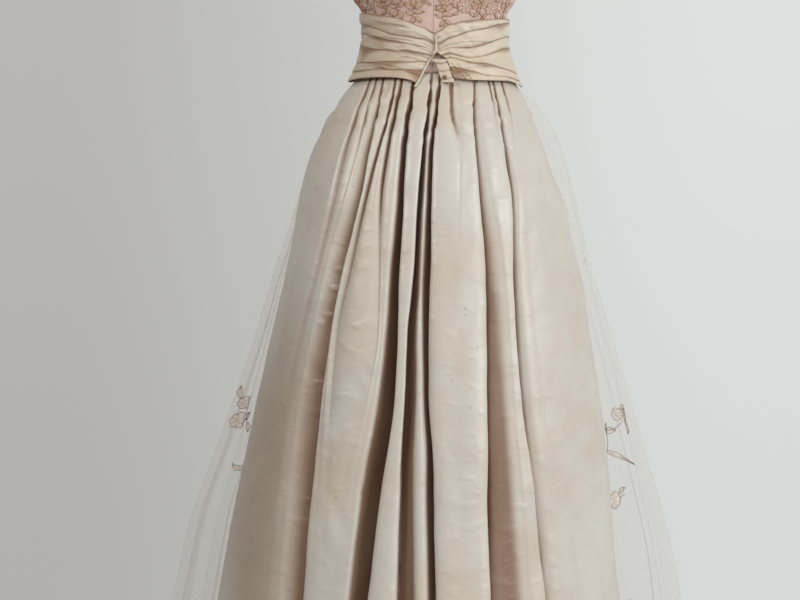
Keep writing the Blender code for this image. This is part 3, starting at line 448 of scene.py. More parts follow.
def back_section(drops):
    """The hidden side's key columns, evenly cut pleats that are unevenly laid."""
    width = curve_through(drops / MM, SIZE_DROPS, BACK_FOLD_WIDTHS) * MM
    depth = curve_through(drops / MM, SIZE_DROPS, BACK_FOLD_DEPTHS) * MM
    back = table_at(SATIN_OUTLINE, drops)[3]
    none = np.zeros_like(drops)
    start = math.pi + SIDE_SEAM_ANGLE
    span = math.pi - 2 * SIDE_SEAM_ANGLE
    section = [(none + start, none + SIDE_SEAM_DEPTH, False)]
    for fold in range(BACK_FOLDS):
        uneven = math.sin(2.3 * fold + 0.8)
        place = start + span * (fold + 0.62 + BACK_FOLD_SHIFT * uneven) / (BACK_FOLDS + 0.24)
        half = width * (1 + 0.25 * uneven) / back / 2
        previous = section[-1][0]
        gap = place - half - previous
        bulge = crown(gap * back, drops) if fold else none
        section.append((previous + gap * 0.5, -bulge, True))
        deep = depth * (1 + 0.25 * math.sin(1.7 * fold))
        section += [(place - half, none, False), (place + half * 0.4 * uneven, deep, False)]
        section.append((place + half, none, False))
    end = none + start + span
    section.append(((section[-1][0] + end) / 2, none, False))
    section.append((end, none + SIDE_SEAM_DEPTH, False))
    return section


def fine_columns(section, drops, spacing, least, keep=None):
    """Fills in the key columns. Ridges get a round crown and folds get straight walls. keep is a
    key column whose place in the fine grid is asked for."""
    radius = sum(size.mean() for size in table_at(SATIN_OUTLINE, drops)) / 4 * ROUND_THE_FOLDS
    angles, inwards, kept = [], [], None
    for index, (one, two) in enumerate(zip(section, section[1:])):
        if index == keep:
            kept = len(angles)
        reach = np.abs(two[0] - one[0]).max() * radius + np.abs(two[1] - one[1]).max()
        count = max(least, int(math.ceil(reach / spacing / (1.5 if one[2] or two[2] else 1.0))))
        for step in range(count):
            t = step / count
            if two[2]:
                share = 1 - (1 - t) ** 2.6
            elif one[2]:
                share = t**2.6
            else:
                share = t
            angles.append(one[0] + (two[0] - one[0]) * t)
            inwards.append(one[1] + (two[1] - one[1]) * share)
    angles.append(section[-1][0])
    inwards.append(section[-1][1])
    return np.stack(angles, 1), np.stack(inwards, 1), kept


def soften(grid, across, down):
    grid = grid.copy()
    for _ in range(across):
        grid[:, 1:-1] = (grid[:, :-2] + 2 * grid[:, 1:-1] + grid[:, 2:]) / 4
    for _ in range(down):
        grid[1:-1] = (grid[:-2] + 2 * grid[1:-1] + grid[2:]) / 4
    return grid


def unit(vectors):
    return vectors / np.maximum(np.linalg.norm(vectors, axis=-1, keepdims=True), 1e-12)


def grid_normals(grid):
    """Normals of a grid whose rows run from the top down and whose columns run from left to right
    seen from outside."""
    return unit(np.cross(np.gradient(grid, axis=1), np.gradient(grid, axis=0)) * -1)


def undulation(a, b, seed, sizes, height):
    """A gentle uneven swell over two lengths, the same on each run."""
    maker = np.random.default_rng(seed)
    total = np.zeros_like(a)
    for _ in range(SWELLS):
        size = maker.uniform(*sizes)
        turn = maker.uniform(-0.6, 0.6)
        phase = maker.uniform(0, math.tau)
        stretch = maker.uniform(0.25, 0.6)
        total += np.sin(math.tau * (a * math.cos(turn) + b * stretch * (math.sin(turn) + 1)) / size + phase)
    return total / math.sqrt(SWELLS) * height


def crease_field(grid, creases):
    """How far the creases lift the cloth at each point."""
    x, drop = grid[..., 0], -grid[..., 2]
    total = np.zeros_like(x)
    for width, rise, *line in creases:
        line = np.array(line, float) * MM
        lengths = np.linalg.norm(np.diff(line, axis=0), axis=1)
        nearest = np.full(x.shape, 1e9)
        along = np.zeros_like(x)
        passed = 0.0
        for start, end, length in zip(line, line[1:], lengths):
            way = (end - start) / length
            t = np.clip((x - start[0]) * way[0] + (drop - start[1]) * way[1], 0, length)
            off = np.hypot(x - start[0] - way[0] * t, drop - start[1] - way[1] * t)
            along = np.where(off < nearest, passed + t, along)
            nearest = np.minimum(off, nearest)
            passed += length
        taper = 0.35 + 0.65 * smooth_step(1.6 * (1 - np.abs(2 * along / passed - 1)))
        total += rise * MM * taper * np.exp(-0.5 * (nearest / (width * MM)) ** 2)
    return total


def grid_faces(rows, columns):
    row = np.arange(rows - 1)[:, None] * columns
    column = np.arange(columns - 1)[None, :]
    first = (row + column).ravel()
    return np.stack([first, first + columns, first + columns + 1, first + 1], 1).tolist()


def add_object(name, data, place=(0, 0, 0)):
    made = bpy.data.objects.new(name, data)
    made.location = place
    bpy.context.scene.collection.objects.link(made)
    return made


def new_object(name, points, faces, finish, node="", uv=None, valley_shade=None):
    """A smooth mesh object that rides on the gown's one body. node is the solid that it stands for."""
    mesh = bpy.data.meshes.new(name)
    mesh.from_pydata(np.asarray(points, float).reshape(-1, 3).tolist(), [], faces)
    if uv is not None:
        corner = np.zeros(len(mesh.loops), np.int32)
        mesh.loops.foreach_get("vertex_index", corner)
        layer = mesh.uv_layers.new(name="cloth")
        layer.data.foreach_set("uv", np.asarray(uv, float).reshape(-1, 2)[corner].astype(np.float32).ravel())
    if valley_shade is not None:
        attribute = mesh.attributes.new("valley_shade", "FLOAT", "POINT")
        attribute.data.foreach_set("value", np.asarray(valley_shade, np.float32).ravel())
    mesh.materials.append(finish)
    mesh.shade_smooth()
    made = add_object(name, mesh)
    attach(made, "root")
    if node:
        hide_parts(node)
    return made


def flat_lengths(grid):
    """How far each point lies along its row and down its column, over the cloth."""
    along = np.cumsum(np.linalg.norm(np.diff(grid, axis=1, prepend=grid[:, :1]), axis=2), 1)
    fall = np.cumsum(np.linalg.norm(np.diff(grid, axis=0, prepend=grid[:1]), axis=2), 0)
    return along - along[:, [along.shape[1] // 2]], fall


def cloth(name, grid, finish, node, side=-1, valley_shade=None):
    """A sheet of cloth through a grid of points, rows from the top down. Its thickness lies inside the
    points at side -1 and outside them at 1, and a sheer one at 0 has none."""
    along, fall = flat_lengths(grid)
    uv = np.stack([along, -fall], -1)
    made = new_object(name, grid, grid_faces(*grid.shape[:2]), finish, node, uv, valley_shade)
    if side:
        wall = made.modifiers.new("wall", "SOLIDIFY")
        wall.thickness, wall.offset = CLOTH, side
    return made


def declare(grid, pieces=()):
    """Works out a sheet's flat cut, which is its widest row by its mean length, and its area, and keeps none
    of them.
    """
    across = np.linalg.norm(np.diff(grid, axis=1), axis=2)
    down = np.linalg.norm(np.diff(grid, axis=0), axis=2)
    flat = round(across.sum(1).max(), 3), round(down.sum(0).mean(), 3)
    area = ((across[1:] + across[:-1]) / 2 * (down[:, 1:] + down[:, :-1]) / 2).sum()
    area = min(area, flat[0] * flat[1])


class Nodes:
    """A short way to write a node tree."""

    def __init__(self, tree):
        self.tree = tree

    def put(self, socket, value):
        if isinstance(value, bpy.types.Node):
            value = value.outputs[0]
        if isinstance(value, bpy.types.NodeSocket):
            self.tree.links.new(value, socket)
        else:
            socket.default_value = value

    def add(self, kind, settings=None, **inputs):
        node = self.tree.nodes.new("ShaderNode" + kind)
        for name, value in (settings or {}).items():
            setattr(node, name, value)
        for name, value in inputs.items():
            self.put(node.inputs[name], value)
        return node

    def fill(self, node, *values):
        for socket, value in zip(node.inputs, values):
            self.put(socket, value)
        return node

    def shade(self, **amounts):
        """Fills the main shader's sockets, whose names have _ for a space here."""
        for name, value in amounts.items():
            self.put(self.tree.nodes["Principled BSDF"].inputs[name.replace("_", " ")], value)

    def cloth_uv(self):
        return self.add("UVMap", {"uv_map": "cloth"}).outputs[0]

    def place(self):
        return self.add("TexCoord").outputs["Object"]

    def mapped(self, where, scale, turn=0.0):
        return self.add("Mapping", Vector=where, Rotation=(0, 0, turn), Scale=scale).outputs[0]

    def noise(self, where, scale, detail=3.0, rough=0.55):
        return self.add("TexNoise", Vector=where, Scale=scale, Detail=detail, Roughness=rough).outputs[0]

    def wave(self, where, way, scale):
        settings = {"wave_type": "BANDS", "bands_direction": way}
        return self.add("TexWave", settings, Vector=where, Scale=scale).outputs[1]

    def range(self, value, low, high, to_low=0.0, to_high=1.0):
        node = self.add("MapRange", {"interpolation_type": "SMOOTHSTEP"})
        return self.fill(node, value, low, high, to_low, to_high).outputs[0]

    def math(self, kind, one, two):
        return self.fill(self.add("Math", {"operation": kind}), one, two).outputs[0]

    def times(self, one, two):
        return self.math("MULTIPLY", one, two)

    def plus(self, one, two):
        return self.math("ADD", one, two)

    def mix(self, share, one, two, blend="MIX"):
        node = self.add("Mix", {"data_type": "RGBA", "blend_type": blend})
        for index, value in ((0, share), (6, one), (7, two)):
            self.put(node.inputs[index], value)
        return node.outputs[2]

    def bump(self, height, strength, distance, under=None):
        node = self.add("Bump", Height=height, Strength=strength, Distance=distance)
        if under is not None:
            self.put(node.inputs["Normal"], under)
        return node.outputs[0]


def new_material(name):
    made = bpy.data.materials.new(name)
    made.use_nodes = True
    return made, Nodes(made.node_tree)


def colour(red, green, blue):
    """A colour given as it looks on screen, 0 to 255, as linear light."""
    parts = (part / 255 for part in (red, green, blue))
    return (*(part / 12.92 if part <= 0.04045 else ((part + 0.055) / 1.055) ** 2.4 for part in parts), 1.0)


def dimmed(tone, share):
    return (*(share * part for part in tone[:3]), 1.0)


def satin_material(name, lit, warm, deep, rumple_turn, rumple_scale, rumple_height, stains=()):
    """Satin: a fine weave, a long sheen down the threads, water marks and faint soiling, with the colour deep
    multiplied in as painted shade where the mesh's shade attribute is high.
    """
    made, n = new_material(name)
    uv, place = n.cloth_uv(), n.place()
    patches = n.range(n.noise(place, 5.5, 4.0), 0.38, 0.66)
    marks = n.range(n.noise(n.mapped(uv, (24.0, 7.0, 1.0)), 1.0, 4.0, 0.6), 0.45, 0.72)
    spots = n.range(n.noise(place, 95.0, 2.0, 0.5), 0.73, 0.79)
    base = n.mix(n.times(patches, 0.6), lit, warm)
    base = n.mix(n.times(marks, 0.25), base, warm)
    base = n.mix(n.times(spots, 0.22), base, colour(140, 110, 85))
    flat_place = n.mapped(place, (1.0, STAIN_FLATNESS, 1.0))
    for x, z, size in stains:
        away = n.add("VectorMath", {"operation": "DISTANCE"})
        n.fill(away, flat_place, (x * MM, STAIN_DEPTH * STAIN_FLATNESS, z * MM))
        mark = n.range(away.outputs["Value"], size * 0.4 * MM, size * MM, 0.45, 0.0)
        base = n.mix(mark, base, colour(120, 86, 62))
    # Painted shade: this attribute darkens the colour towards deep in the folds' hollows and along the
    # painted shade lines.
    valley_shade = n.add("Attribute", {"attribute_name": "valley_shade"}).outputs["Fac"]
    slub = n.noise(n.mapped(uv, (900.0, 60.0, 1.0)), 1.0, 2.0)
    fine = n.plus(n.wave(uv, "X", 1500.0), n.times(n.wave(uv, "Y", 600.0), 0.5))
    normal = n.bump(n.noise(n.mapped(uv, (9.0, 15.0, 1.0), 0.8), 1.0, 2.0, 0.4), 0.5, 0.006)
    rumples = n.noise(n.mapped(uv, rumple_scale, rumple_turn), 1.0, 1.0, 0.5)
    normal = n.bump(n.range(rumples, 0.5, 0.75), 0.5, rumple_height, normal)
    normal = n.bump(slub, 0.06, 0.0002, normal)
    n.shade(
        Base_Color=n.mix(n.range(valley_shade, 0.18, 0.88), base, deep, "MULTIPLY"),
        Roughness=n.range(n.plus(n.times(slub, 0.35), n.times(patches, 0.5)), 0.0, 0.8, 0.29, 0.43),
        Normal=n.bump(fine, 0.10, 0.0001, normal),
        Tangent=n.add("Tangent", {"direction_type": "UV_MAP", "uv_map": "cloth"}),
        Anisotropic=0.55, Specular_IOR_Level=0.5, Sheen_Weight=0.12, Sheen_Roughness=0.45,
    )
    return made


def sheer_material(name, tint, least, most):
    """Tulle: a fine net of threads that lets most of the light through and closes up edge on."""
    made, n = new_material(name)
    nodes, uv = made.node_tree.nodes, n.cloth_uv()
    net = n.add("TexVoronoi", {"feature": "DISTANCE_TO_EDGE"}, Vector=uv, Scale=1 / NET_CELL)
    edge_on = n.math("POWER", n.add("LayerWeight", Blend=0.5).outputs["Facing"], 6.0)
    threads = n.times(n.range(net.outputs[0], 0.05, 0.14, 1.0, 0.0), least * 1.6)
    cover = n.plus(threads, n.times(n.noise(uv, 9.0, 3.0), least * 0.7))
    cover = n.math("MINIMUM", n.plus(cover, n.times(edge_on, most)), 0.92)
    tone = n.mix(n.times(edge_on, 0.9), tint, dimmed(tint, 0.34))
    n.shade(Base_Color=tone, Roughness=0.7, Specular_IOR_Level=0.2)
    thread = n.fill(n.add("MixShader"), 0.6, nodes["Principled BSDF"], n.add("BsdfTranslucent", Color=tone))
    both = n.fill(n.add("MixShader"), cover, n.add("BsdfTransparent"), thread)
    n.put(nodes["Material Output"].inputs["Surface"], both)
    return made


def lining_material():
    """Matt pink lining with a plain weave and faint uneven toning."""
    made, n = new_material("bodice_lining_cloth")
    uv = n.cloth_uv()
    patches = n.range(n.noise(uv, 14.0, 4.0), 0.35, 0.7)
    weave = n.bump(n.plus(n.wave(uv, "X", 1100.0), n.wave(uv, "Y", 1100.0)), 0.2, 0.0001)
    n.shade(
        Base_Color=n.mix(patches, colour(226, 206, 198), colour(218, 194, 184)),
        Normal=n.bump(n.noise(uv, 60.0, 3.0), 0.25, 0.0012, weave),
        Roughness=n.range(patches, 0.0, 1.0, 0.62, 0.74), Sheen_Weight=0.15,
    )
    return made


def lace_material(name, light, dark, cover=1.0):
    """Corded lace: knotty thread with darker gaps between the stitches."""
    made, n = new_material(name)
    place = n.place()
    knots = n.add("TexVoronoi", Vector=place, Scale=900.0).outputs[0]
    tone = n.range(n.noise(place, 60.0, 3.0), 0.3, 0.7)
    n.shade(
        Base_Color=n.mix(n.range(knots, 0.35, 0.8, 0.0, 0.45), n.mix(tone, light, dark), dark),
        Normal=n.bump(knots, 0.5, 0.0004), Roughness=n.range(tone, 0.0, 1.0, 0.6, 0.8), Alpha=cover,
    )
    return made


def bead_material():
    """Milky glass."""
    made, n = new_material("lace_beads")
    tone = n.noise(n.place(), 300.0, 2.0)
    body = colour(250, 246, 238)
    rough = n.range(tone, 0.3, 0.7, 0.2, 0.32)
    n.shade(Base_Color=n.mix(tone, body, dimmed(body, 0.8)), Roughness=rough, Coat_Weight=0.6)
    return made


def stud_material():
    """Worn brass of the press stud."""
    made, n = new_material("stud_brass")
    wear = n.range(n.noise(n.place(), 700.0, 3.0), 0.4, 0.65)
    n.shade(
        Base_Color=n.mix(wear, colour(188, 170, 140), colour(112, 90, 68)), Metallic=1.0,
        Normal=n.bump(wear, 0.15, 0.0002), Roughness=n.range(wear, 0.0, 1.0, 0.28, 0.5),
    )
    return made


def row_drops(count):
    """How far down each row of the skirt lies, closer together near the waist."""
    share = np.linspace(0, 1, count)
    return SKIRT_TOP_DROP + (HEM_DROP - SKIRT_TOP_DROP) * (0.45 * share + 0.55 * share**2)


def trimmed(grid):
    """Draws a grid's two side edges in a little, as at a seam."""
    grid = grid.copy()
    grid[:, 0] += unit(grid[:, 1] - grid[:, 0]) * SEAM_EDGE
    grid[:, -1] += unit(grid[:, -2] - grid[:, -1]) * SEAM_EDGE
    return grid


def build_satin(finish):
    drops = row_drops(SATIN_ROWS)
    section, seam = front_section(drops)
    angles, inwards, seam = fine_columns(section, drops, FRONT_SPACING, 2, keep=seam)
    front = finished_satin(angles, inwards, drops, FRONT_CREASES, FRONT_PAINTED_SHADE, 11)
    angles, inwards, _ = fine_columns(back_section(drops), drops, BACK_SPACING, 3)
    back = finished_satin(angles, inwards, drops, BACK_CREASES, BACK_PAINTED_SHADE, 12)
    for name, (grid, valley_shade), part in (
        ("skirt_front_left", front, slice(seam + 1)), ("skirt_front_right", front, slice(seam, None)),
        ("skirt_back", back, slice(None)),
    ):
        grid = trimmed(grid[:, part])
        piece = cloth("satin_" + name, grid, finish, name, valley_shade=valley_shade[:, part])
        declare(grid)


def finished_satin(angles, inwards, drops, creases, painted_shade_lines, seed):
    grid = soften(satin_points(angles, inwards, drops), 2, 3)
    # Painted shade: how deep each point lies in its fold, against the usual depth at its drop, plus the
    # painted shade lines, sets how far the satin's colour is darkened there.
    usual = curve_through(drops / MM, SIZE_DROPS, USUAL_DEPTHS)[:, None] * MM
    painted_shade = crease_field(grid, painted_shade_lines) / MM
    valley_shade = soften(np.clip(inwards / usual + np.clip(painted_shade, 0, 0.7), 0, 1), 1, 2)
    normals = grid_normals(grid)
    along, fall = flat_lengths(grid)
    lift = undulation(along, fall, seed, *BROAD_SWELL) * smooth_step(fall / 0.25)
    lift += undulation(along, fall, seed + 50, *FINE_SWELL) * smooth_step(fall / 0.12)
    crumples = undulation(fall, along * 0.8, seed + 20, *CRUMPLES)
    lift += crumples * np.exp(-(((fall - CRUMPLES_DOWN[0]) / CRUMPLES_DOWN[1]) ** 2))
    gathers = np.sin(math.tau * along / GATHER_WIDTH + 2.2 * np.sin(along * 47) + seed)
    lift += GATHER_HEIGHT * gathers * np.exp(-fall / GATHER_LENGTH) * smooth_step(fall / 0.004)
    lift = np.minimum(lift + crease_field(grid, creases), MOST_LIFT)
    hem = smooth_step((HEM_DROP + grid[..., 2]) / 0.01)
    top = smooth_step(fall / 0.02)
    return grid + normals * (lift * hem * top)[..., None], valley_shade


def calm_ends(along, margin):
    return smooth_step(along / margin) * smooth_step((1 - along) / margin)


def overskirt_grid():
    """The overskirt from its right edge round the back to its left edge, with its fine folds."""
    drops = row_drops(OVERSKIRT_ROWS)
    left, right, back, middle = (size[:, None] for size in table_at(OVERSKIRT_OUTLINE, drops))
    part = drops[:, None] / HEM_DROP
    along = np.broadcast_to(np.linspace(0, 1, OVERSKIRT_COLUMNS), (OVERSKIRT_ROWS, OVERSKIRT_COLUMNS))
    angle = np.pi * (1 + (along - OVERSKIRT_EDGE_SHARE) / (1 - 2 * OVERSKIRT_EDGE_SHARE))
    x, y, nx, ny = ring_point(np.clip(angle, math.pi, math.tau), left, right, back - middle, back - middle)
    points = np.stack([x, y + middle, 0 * x - drops[:, None]], -1)
    clearance = np.interp(part, (0, 1), OVERSKIRT_EDGE_CLEARANCE)
    for edge, way in ((math.pi + OVERSKIRT_EDGE_ANGLE, along), (-OVERSKIRT_EDGE_ANGLE, 1 - along)):
        start = satin_points(np.full((OVERSKIRT_ROWS, 1), edge), -clearance, drops)
        points = start + (points - start) * np.clip(way / OVERSKIRT_EDGE_SHARE, 0, 1)[..., None]
    turn = math.tau * (along * OVERSKIRT_WAVES + 0.25)
    uneven = soften(1 + 0.3 * np.sin(1.9 * np.floor(along * OVERSKIRT_WAVES)), 12, 0)
    wave = np.cos(turn + 0.25 * np.sin(3 * along * math.pi + 2 * part)) * uneven * calm_ends(along, 0.06)
    ripples = np.cos(turn * 2.7 + 1.3 * np.sin(turn * 0.31)) * 0.16 * calm_ends(along, 0.03)
    lift = np.interp(part, (0, 1), OVERSKIRT_WAVE) * (0.94 * wave + ripples)
    return soften(points + np.stack([nx, ny, 0 * nx], -1) * lift[..., None], 2, 2)


def bodice_place(angle, height):
    side, front, back = table_at(BODICE_FORM, height)
    x, y, _, _ = ring_point(angle, side, side, front, back)
    facing = np.maximum(np.sin(angle), 0) ** 0.5
    for cup in (-CUP_SIDE, CUP_SIDE):
        near = ((x - cup) ** 2 + (height - CUP_HEIGHT) ** 2) / (2 * CUP_SPREAD**2)
        y = y - CUP_RISE * np.exp(-near) * facing
    return np.stack([x, y, height + 0 * x], -1)


def bodice_points(angle, height, out):
    """Points of the bodice's form, moved out along its own normal."""
    small = 0.004
    around = bodice_place(angle + small, height) - bodice_place(angle - small, height)
    upward = bodice_place(angle, height + small) - bodice_place(angle, height - small)
    normal = unit(np.cross(around, upward))
    return bodice_place(angle, height) + normal * np.asarray(out)[..., None]


def bodice_angle(side, height):
    half = table_at(BODICE_FORM, height, np.interp)[0]
    return np.arccos(np.clip(-side / half, -0.999, 0.999))


def top_edge(angle):
    across = -np.cos(angle)
    behind = TOP_EDGE_SIDE + (TOP_EDGE_BACK - TOP_EDGE_SIDE) * smooth_step(-np.sin(angle))
    outer = np.abs(across)
    inside = TOP_EDGE_CENTRE + (TOP_EDGE_CUP - TOP_EDGE_CENTRE) * smooth_step(outer / 0.5)
    beyond = TOP_EDGE_CUP + (TOP_EDGE_SIDE - TOP_EDGE_CUP) * smooth_step((outer - 0.5) / 0.5)
    return np.where(np.sin(angle) < 0, behind, np.where(outer < 0.5, inside, beyond))


SIDE_SEAMS = {0: 0.0, 4: math.pi, 5: math.tau}
# The panels in turn round the bodice, each from its own seam to the next, with their columns of points.
BODICE_PANELS = {
    "bodice_side_left": 36, "bodice_centre_left": 60, "bodice_centre_right": 60, "bodice_side_right": 36,
    "bodice_back": 130,
}
BODICE_SHEERS = {
    "bodice_tulle_left": ("bodice_side_left", "bodice_centre_left"),
    "bodice_tulle_right": ("bodice_centre_right", "bodice_side_right"),
    "bodice_tulle_back": ("bodice_back",),
}
BODICE_ROWS = 52


def seam_angle(seam, height):
    """Where a seam lies. Seams 0 and 5 are at the left side, 1 and 3 at the side front, 2 in the centre
    and 4 at the right side."""
    if seam in SIDE_SEAMS:
        return 0 * height + SIDE_SEAMS[seam]
    side = CENTRE_SEAM_SIDE if seam == 2 else (seam - 2) * line_at(SIDE_FRONT_SEAM, height)
    return bodice_angle(side, height)


def bodice_grid(panel, out):
    """One panel's points, rows from the top edge down to the waist."""
    seam = list(BODICE_PANELS).index(panel)
    across = np.linspace(0, 1, BODICE_PANELS[panel])[None, :]
    down = np.linspace(1, 0, BODICE_ROWS)[:, None]
    height = 0.1 + 0 * down * across
    for _ in range(4):
        start = seam_angle(seam, height)
        angle = start + across * (seam_angle(seam + 1, height) - start)
        height = top_edge(angle) * down
    return bodice_points(angle, height, out)


def build_bodice(lining, tulle):
    """The lining's panels, then the tulle over them, given back with its points."""
    for panel in BODICE_PANELS:
        grid = trimmed(bodice_grid(panel, LINING_WALL - CLOTH))
        made = cloth("lining_" + panel, grid, lining, panel, 1)
        declare(grid)
    sheers = {}
    for name, over in BODICE_SHEERS.items():
        parts = [bodice_grid(panel, LINING_WALL + SHEER_GAP) for panel in over]
        grid = trimmed(np.concatenate([parts[0]] + [part[:, 1:] for part in parts[1:]], 1))
        sheers[name] = (cloth(name + "_sheer", grid, tulle, name, 0), grid)
    return sheers


def sash_stations(angle):
    """Each station's values at these angles."""
    across = -np.cos(angle)
    front = SASH_LEFT[::-1] + SASH_RIGHT
    hidden = [SASH_LEFT[-1], SASH_BACK, SASH_RIGHT[-1]]
    turned = np.copysign(1 - smooth_step(-np.sin(angle) * SASH_SIDE_TURN), across)
    found = []
    for ahead, behind in zip(zip(*front), zip(*hidden)):
        ahead = curve_through(across * SASH_RIGHT[-1].side, [row.side for row in front], ahead)
        found.append(np.where(np.sin(angle) < 0, np.interp(turned, (-1, 0, 1), behind), ahead))
    return found


def sash_grid(out):
    """The sash from its right end round the back to its left end, and how far its pleats stand out."""
    level = np.arange(6 * SASH_PLEAT_ROWS, -1, -1)[:, None] / SASH_PLEAT_ROWS
    pleat = np.minimum(level.astype(int), 5)
    within = level - pleat
    ahead = np.arange(SASH_HALF_COLUMNS) / SASH_HALF_COLUMNS
    behind = np.arange(SASH_BACK_COLUMNS) / SASH_BACK_COLUMNS
    around = np.concatenate([ahead, 1 + behind, 2 + ahead, [3.0]])
    right, back, left = (np.clip(around - start, 0, 1) for start in range(3))
    height = 0 * level * around
    for _ in range(6):
        left_end = bodice_angle(line_at(SASH_LEFT_END, height), height)
        right_end = bodice_angle(line_at(SASH_RIGHT_END, height), height)
        angle = right_end + right * (math.pi - right_end) + back * math.pi + left * left_end
        _, bottom, top, *creases = sash_stations(angle)
        low = np.choose(pleat, [0 * angle] + creases)
        high = np.choose(pleat, creases + [0 * angle + 1])
        share = low + within * (high - low)
        near = np.where(np.sin(angle) > 0, smooth_step(1 - np.abs(np.cos(angle)) / 0.2), 0.0)
        bottom, top = bottom * MM, top * MM
        top = top + (SASH_TOP_AT_CENTRE - top) * near
        height = bottom + share * (top - bottom)
    steep = (1 - np.exp(-within / 0.055)) * (1 - within) ** 0.75 * 1.1
    rise = steep * (0.55 + 0.45 * np.sin(angle * 4.3 + pleat * 2.1) * np.sin(angle * 2.1 + pleat * 1.3 + 1.0))
    side, front, back = table_at(BODICE_FORM, height, np.interp)
    x, y, nx, ny = ring_point(angle, side, side, front, back)
    close = np.exp(-(np.abs(x) + np.where(np.sin(angle) < 0, 1.0, 0.0)) / 0.045)
    bunched = np.where(np.sin(angle) > 0, np.exp(-np.abs(x) / 0.030), 0.0)
    waving = share * 11 + 0.5 * np.sin(x * 70) + 0.3 * np.sin(share * 17)
    gathers = np.abs(np.sin(math.pi * waving)) * bunched * SASH_GATHERS
    gathers += np.sin(math.tau * share * 9 + 2.0 * np.sin(x * 60)) * close * SASH_FINE_GATHERS
    soft = undulation(x + y, height * 4, 31, *SASH_SWELL)
    crumple = undulation((x + y) * 3, height * 9, 33, *SASH_CRUMPLE) * (0.4 + close)
    standoff = np.interp(share, *zip(*SASH_STANDOFF)) * MM
    lift = standoff + rise * SASH_PLEAT_RISE + gathers + soft + crumple + out
    return np.stack([x + nx * lift, y + ny * lift, height], -1), rise


def tube(path, radius, sides):
    """A round cord along a path, with closed ends, as points and faces."""
    path = np.asarray(path, float)
    along = unit(np.gradient(path, axis=0))
    beside = unit(np.cross(along, np.array([0.3, 0.9, 0.2])))
    over = np.cross(along, beside)
    turn = np.linspace(0, math.tau, sides, endpoint=False)
    radius = np.broadcast_to(np.asarray(radius, float), (len(path),))[:, None, None]
    ring = beside[:, None] * np.cos(turn)[None, :, None] + over[:, None] * np.sin(turn)[None, :, None]
    points = (path[:, None] + ring * radius).reshape(-1, 3)
    row, side = np.divmod(np.arange(len(points) - sides), sides)
    first, after = row * sides + side, row * sides + (side + 1) % sides
    faces = np.stack([first, after, after + sides, first + sides], 1).tolist()
    return points, faces + [list(range(sides))[::-1], list(range(len(points) - sides, len(points)))]


def cord_piece(name, paths, radius, finish, sides=6):
    """Cords or stitches along paths, as one piece."""
    points, faces, count = [], [], 0
    for path in paths:
        ring, ring_faces = tube(path, radius, sides)
        points.append(ring)
        faces += [[index + count for index in face] for face in ring_faces]
        count += len(ring)
    points = np.concatenate(points)
    return new_object(name, points, faces, finish, uv=points[:, [0, 2]])


def sash_stitches(grid, finish):
    """Two short rows of hand stitches that hold the right half's lower end."""
    front = (grid + grid_normals(grid) * (CLOTH + 0.0006)).reshape(-1, 3)
    front = front[front[:, 1] < 0]
    paths = []
    for row in range(2):
        for stitch in range(7):
            ends = [0.0036 * stitch + 0.0007 * step for step in range(4)]
            places = [(0.024 + 0.009 * row + 0.9 * end, 0.014 - end) for end in ends]
            paths.append([front[np.argmin(np.hypot(front[:, 0] - x, front[:, 2] - z))] for x, z in places])
    return cord_piece("sash_stitches", paths, 0.0004, finish, 5)


def sash_binding(grid, finish):
    """The bound edge of the sash's left end, with its loose tail."""
    edge = soften(grid[:, -1:], 0, 12)[::-1, 0]
    edge = edge[edge[:, 2] < SASH_TOP_AT_CENTRE - 0.004]
    along = unit(np.gradient(edge, axis=0))
    beside = np.stack([along[:, 2], 0 * along[:, 0], -along[:, 0]], -1)
    over = smooth_step((edge[:, 2] - BINDING_TOP + 0.004) / 0.006)[:, None]
    path = edge + beside * (BINDING_RADIUS + BINDING_GAP) * (1 - 0.7 * over)
    path[:, 1] -= SASH_WALL / 2 - CLOTH + 0.0045 * over[:, 0]
    tail = path[0] + np.array([-0.0035, -0.0025, -0.006])
    path = soften(np.concatenate([[tail, (tail + path[0]) / 2], path])[:, None], 0, 3)[:, 0]
    ruched = 1.15 + 0.10 * np.sin(np.linspace(0, math.tau * 19, len(path)))
    points, faces = tube(path, BINDING_RADIUS * ruched, 14)
    uv = points[:, [0, 2]]
    return new_object("sash_binding_edge", points, faces, finish, "sash_binding", uv)


def sash_tab(finish):
    """The ruched strip under the sash's right end."""
    share = np.linspace(1, 0, 60)[:, None]
    across = np.linspace(0, 1, 26)[None, :]
    height = TAB_BOTTOM + share * (TAB_TOP - TAB_BOTTOM) + 0 * across
    left = line_at(TAB_LEFT_SIDE, height)
    right = line_at(SASH_RIGHT_END, height) + 0.3 * SASH_WALL
    pleat = np.abs(np.cos(math.pi * (TAB_PLEATS * share + 0.10 * np.sin(across * 5)))) ** 0.6
    bow = 0.0012 * (1 - (2 * across - 1) ** 2) + 0.0022 * pleat + SASH_WALL - CLOTH
    _, bottom, top, *_ = sash_stations(np.array(math.pi / 2))
    standoff = np.interp((height / MM - bottom) / (top - bottom), *zip(*SASH_STANDOFF)) * MM
    depth = table_at(BODICE_FORM, height, np.interp)[1] + standoff + bow
    grid = np.stack([left + across * (right - left), -depth, height], -1)
    # Painted shade in the hollows between the tab's pleats.
    return cloth("sash_tab_ruched", grid, finish, "sash_tab", 1, 0.8 * (1 - pleat)), grid


def build_sash(finish, thread):
    grid, rise = sash_grid(SASH_WALL - CLOTH)
    grid = soften(grid, 1, 1)
    # Painted shade: the sash darkens towards its left half, away from the light, and in the hollows between
    # its pleats, where they rise least.
    shaded = smooth_step(-(grid[..., 0] + 0.01) / 0.05) * 0.36 + 0.08
    valley_shade = np.maximum(np.clip(1 - rise * 3.2, 0, 1) * 0.95, shaded)
    sash = cloth("sash_ruched", grid, finish, "sash", 1, valley_shade)
    binding = sash_binding(grid, finish)
    tab, tab_grid = sash_tab(finish)
    declare(grid, [binding, sash_stitches(grid, thread)])
    declare(tab_grid)


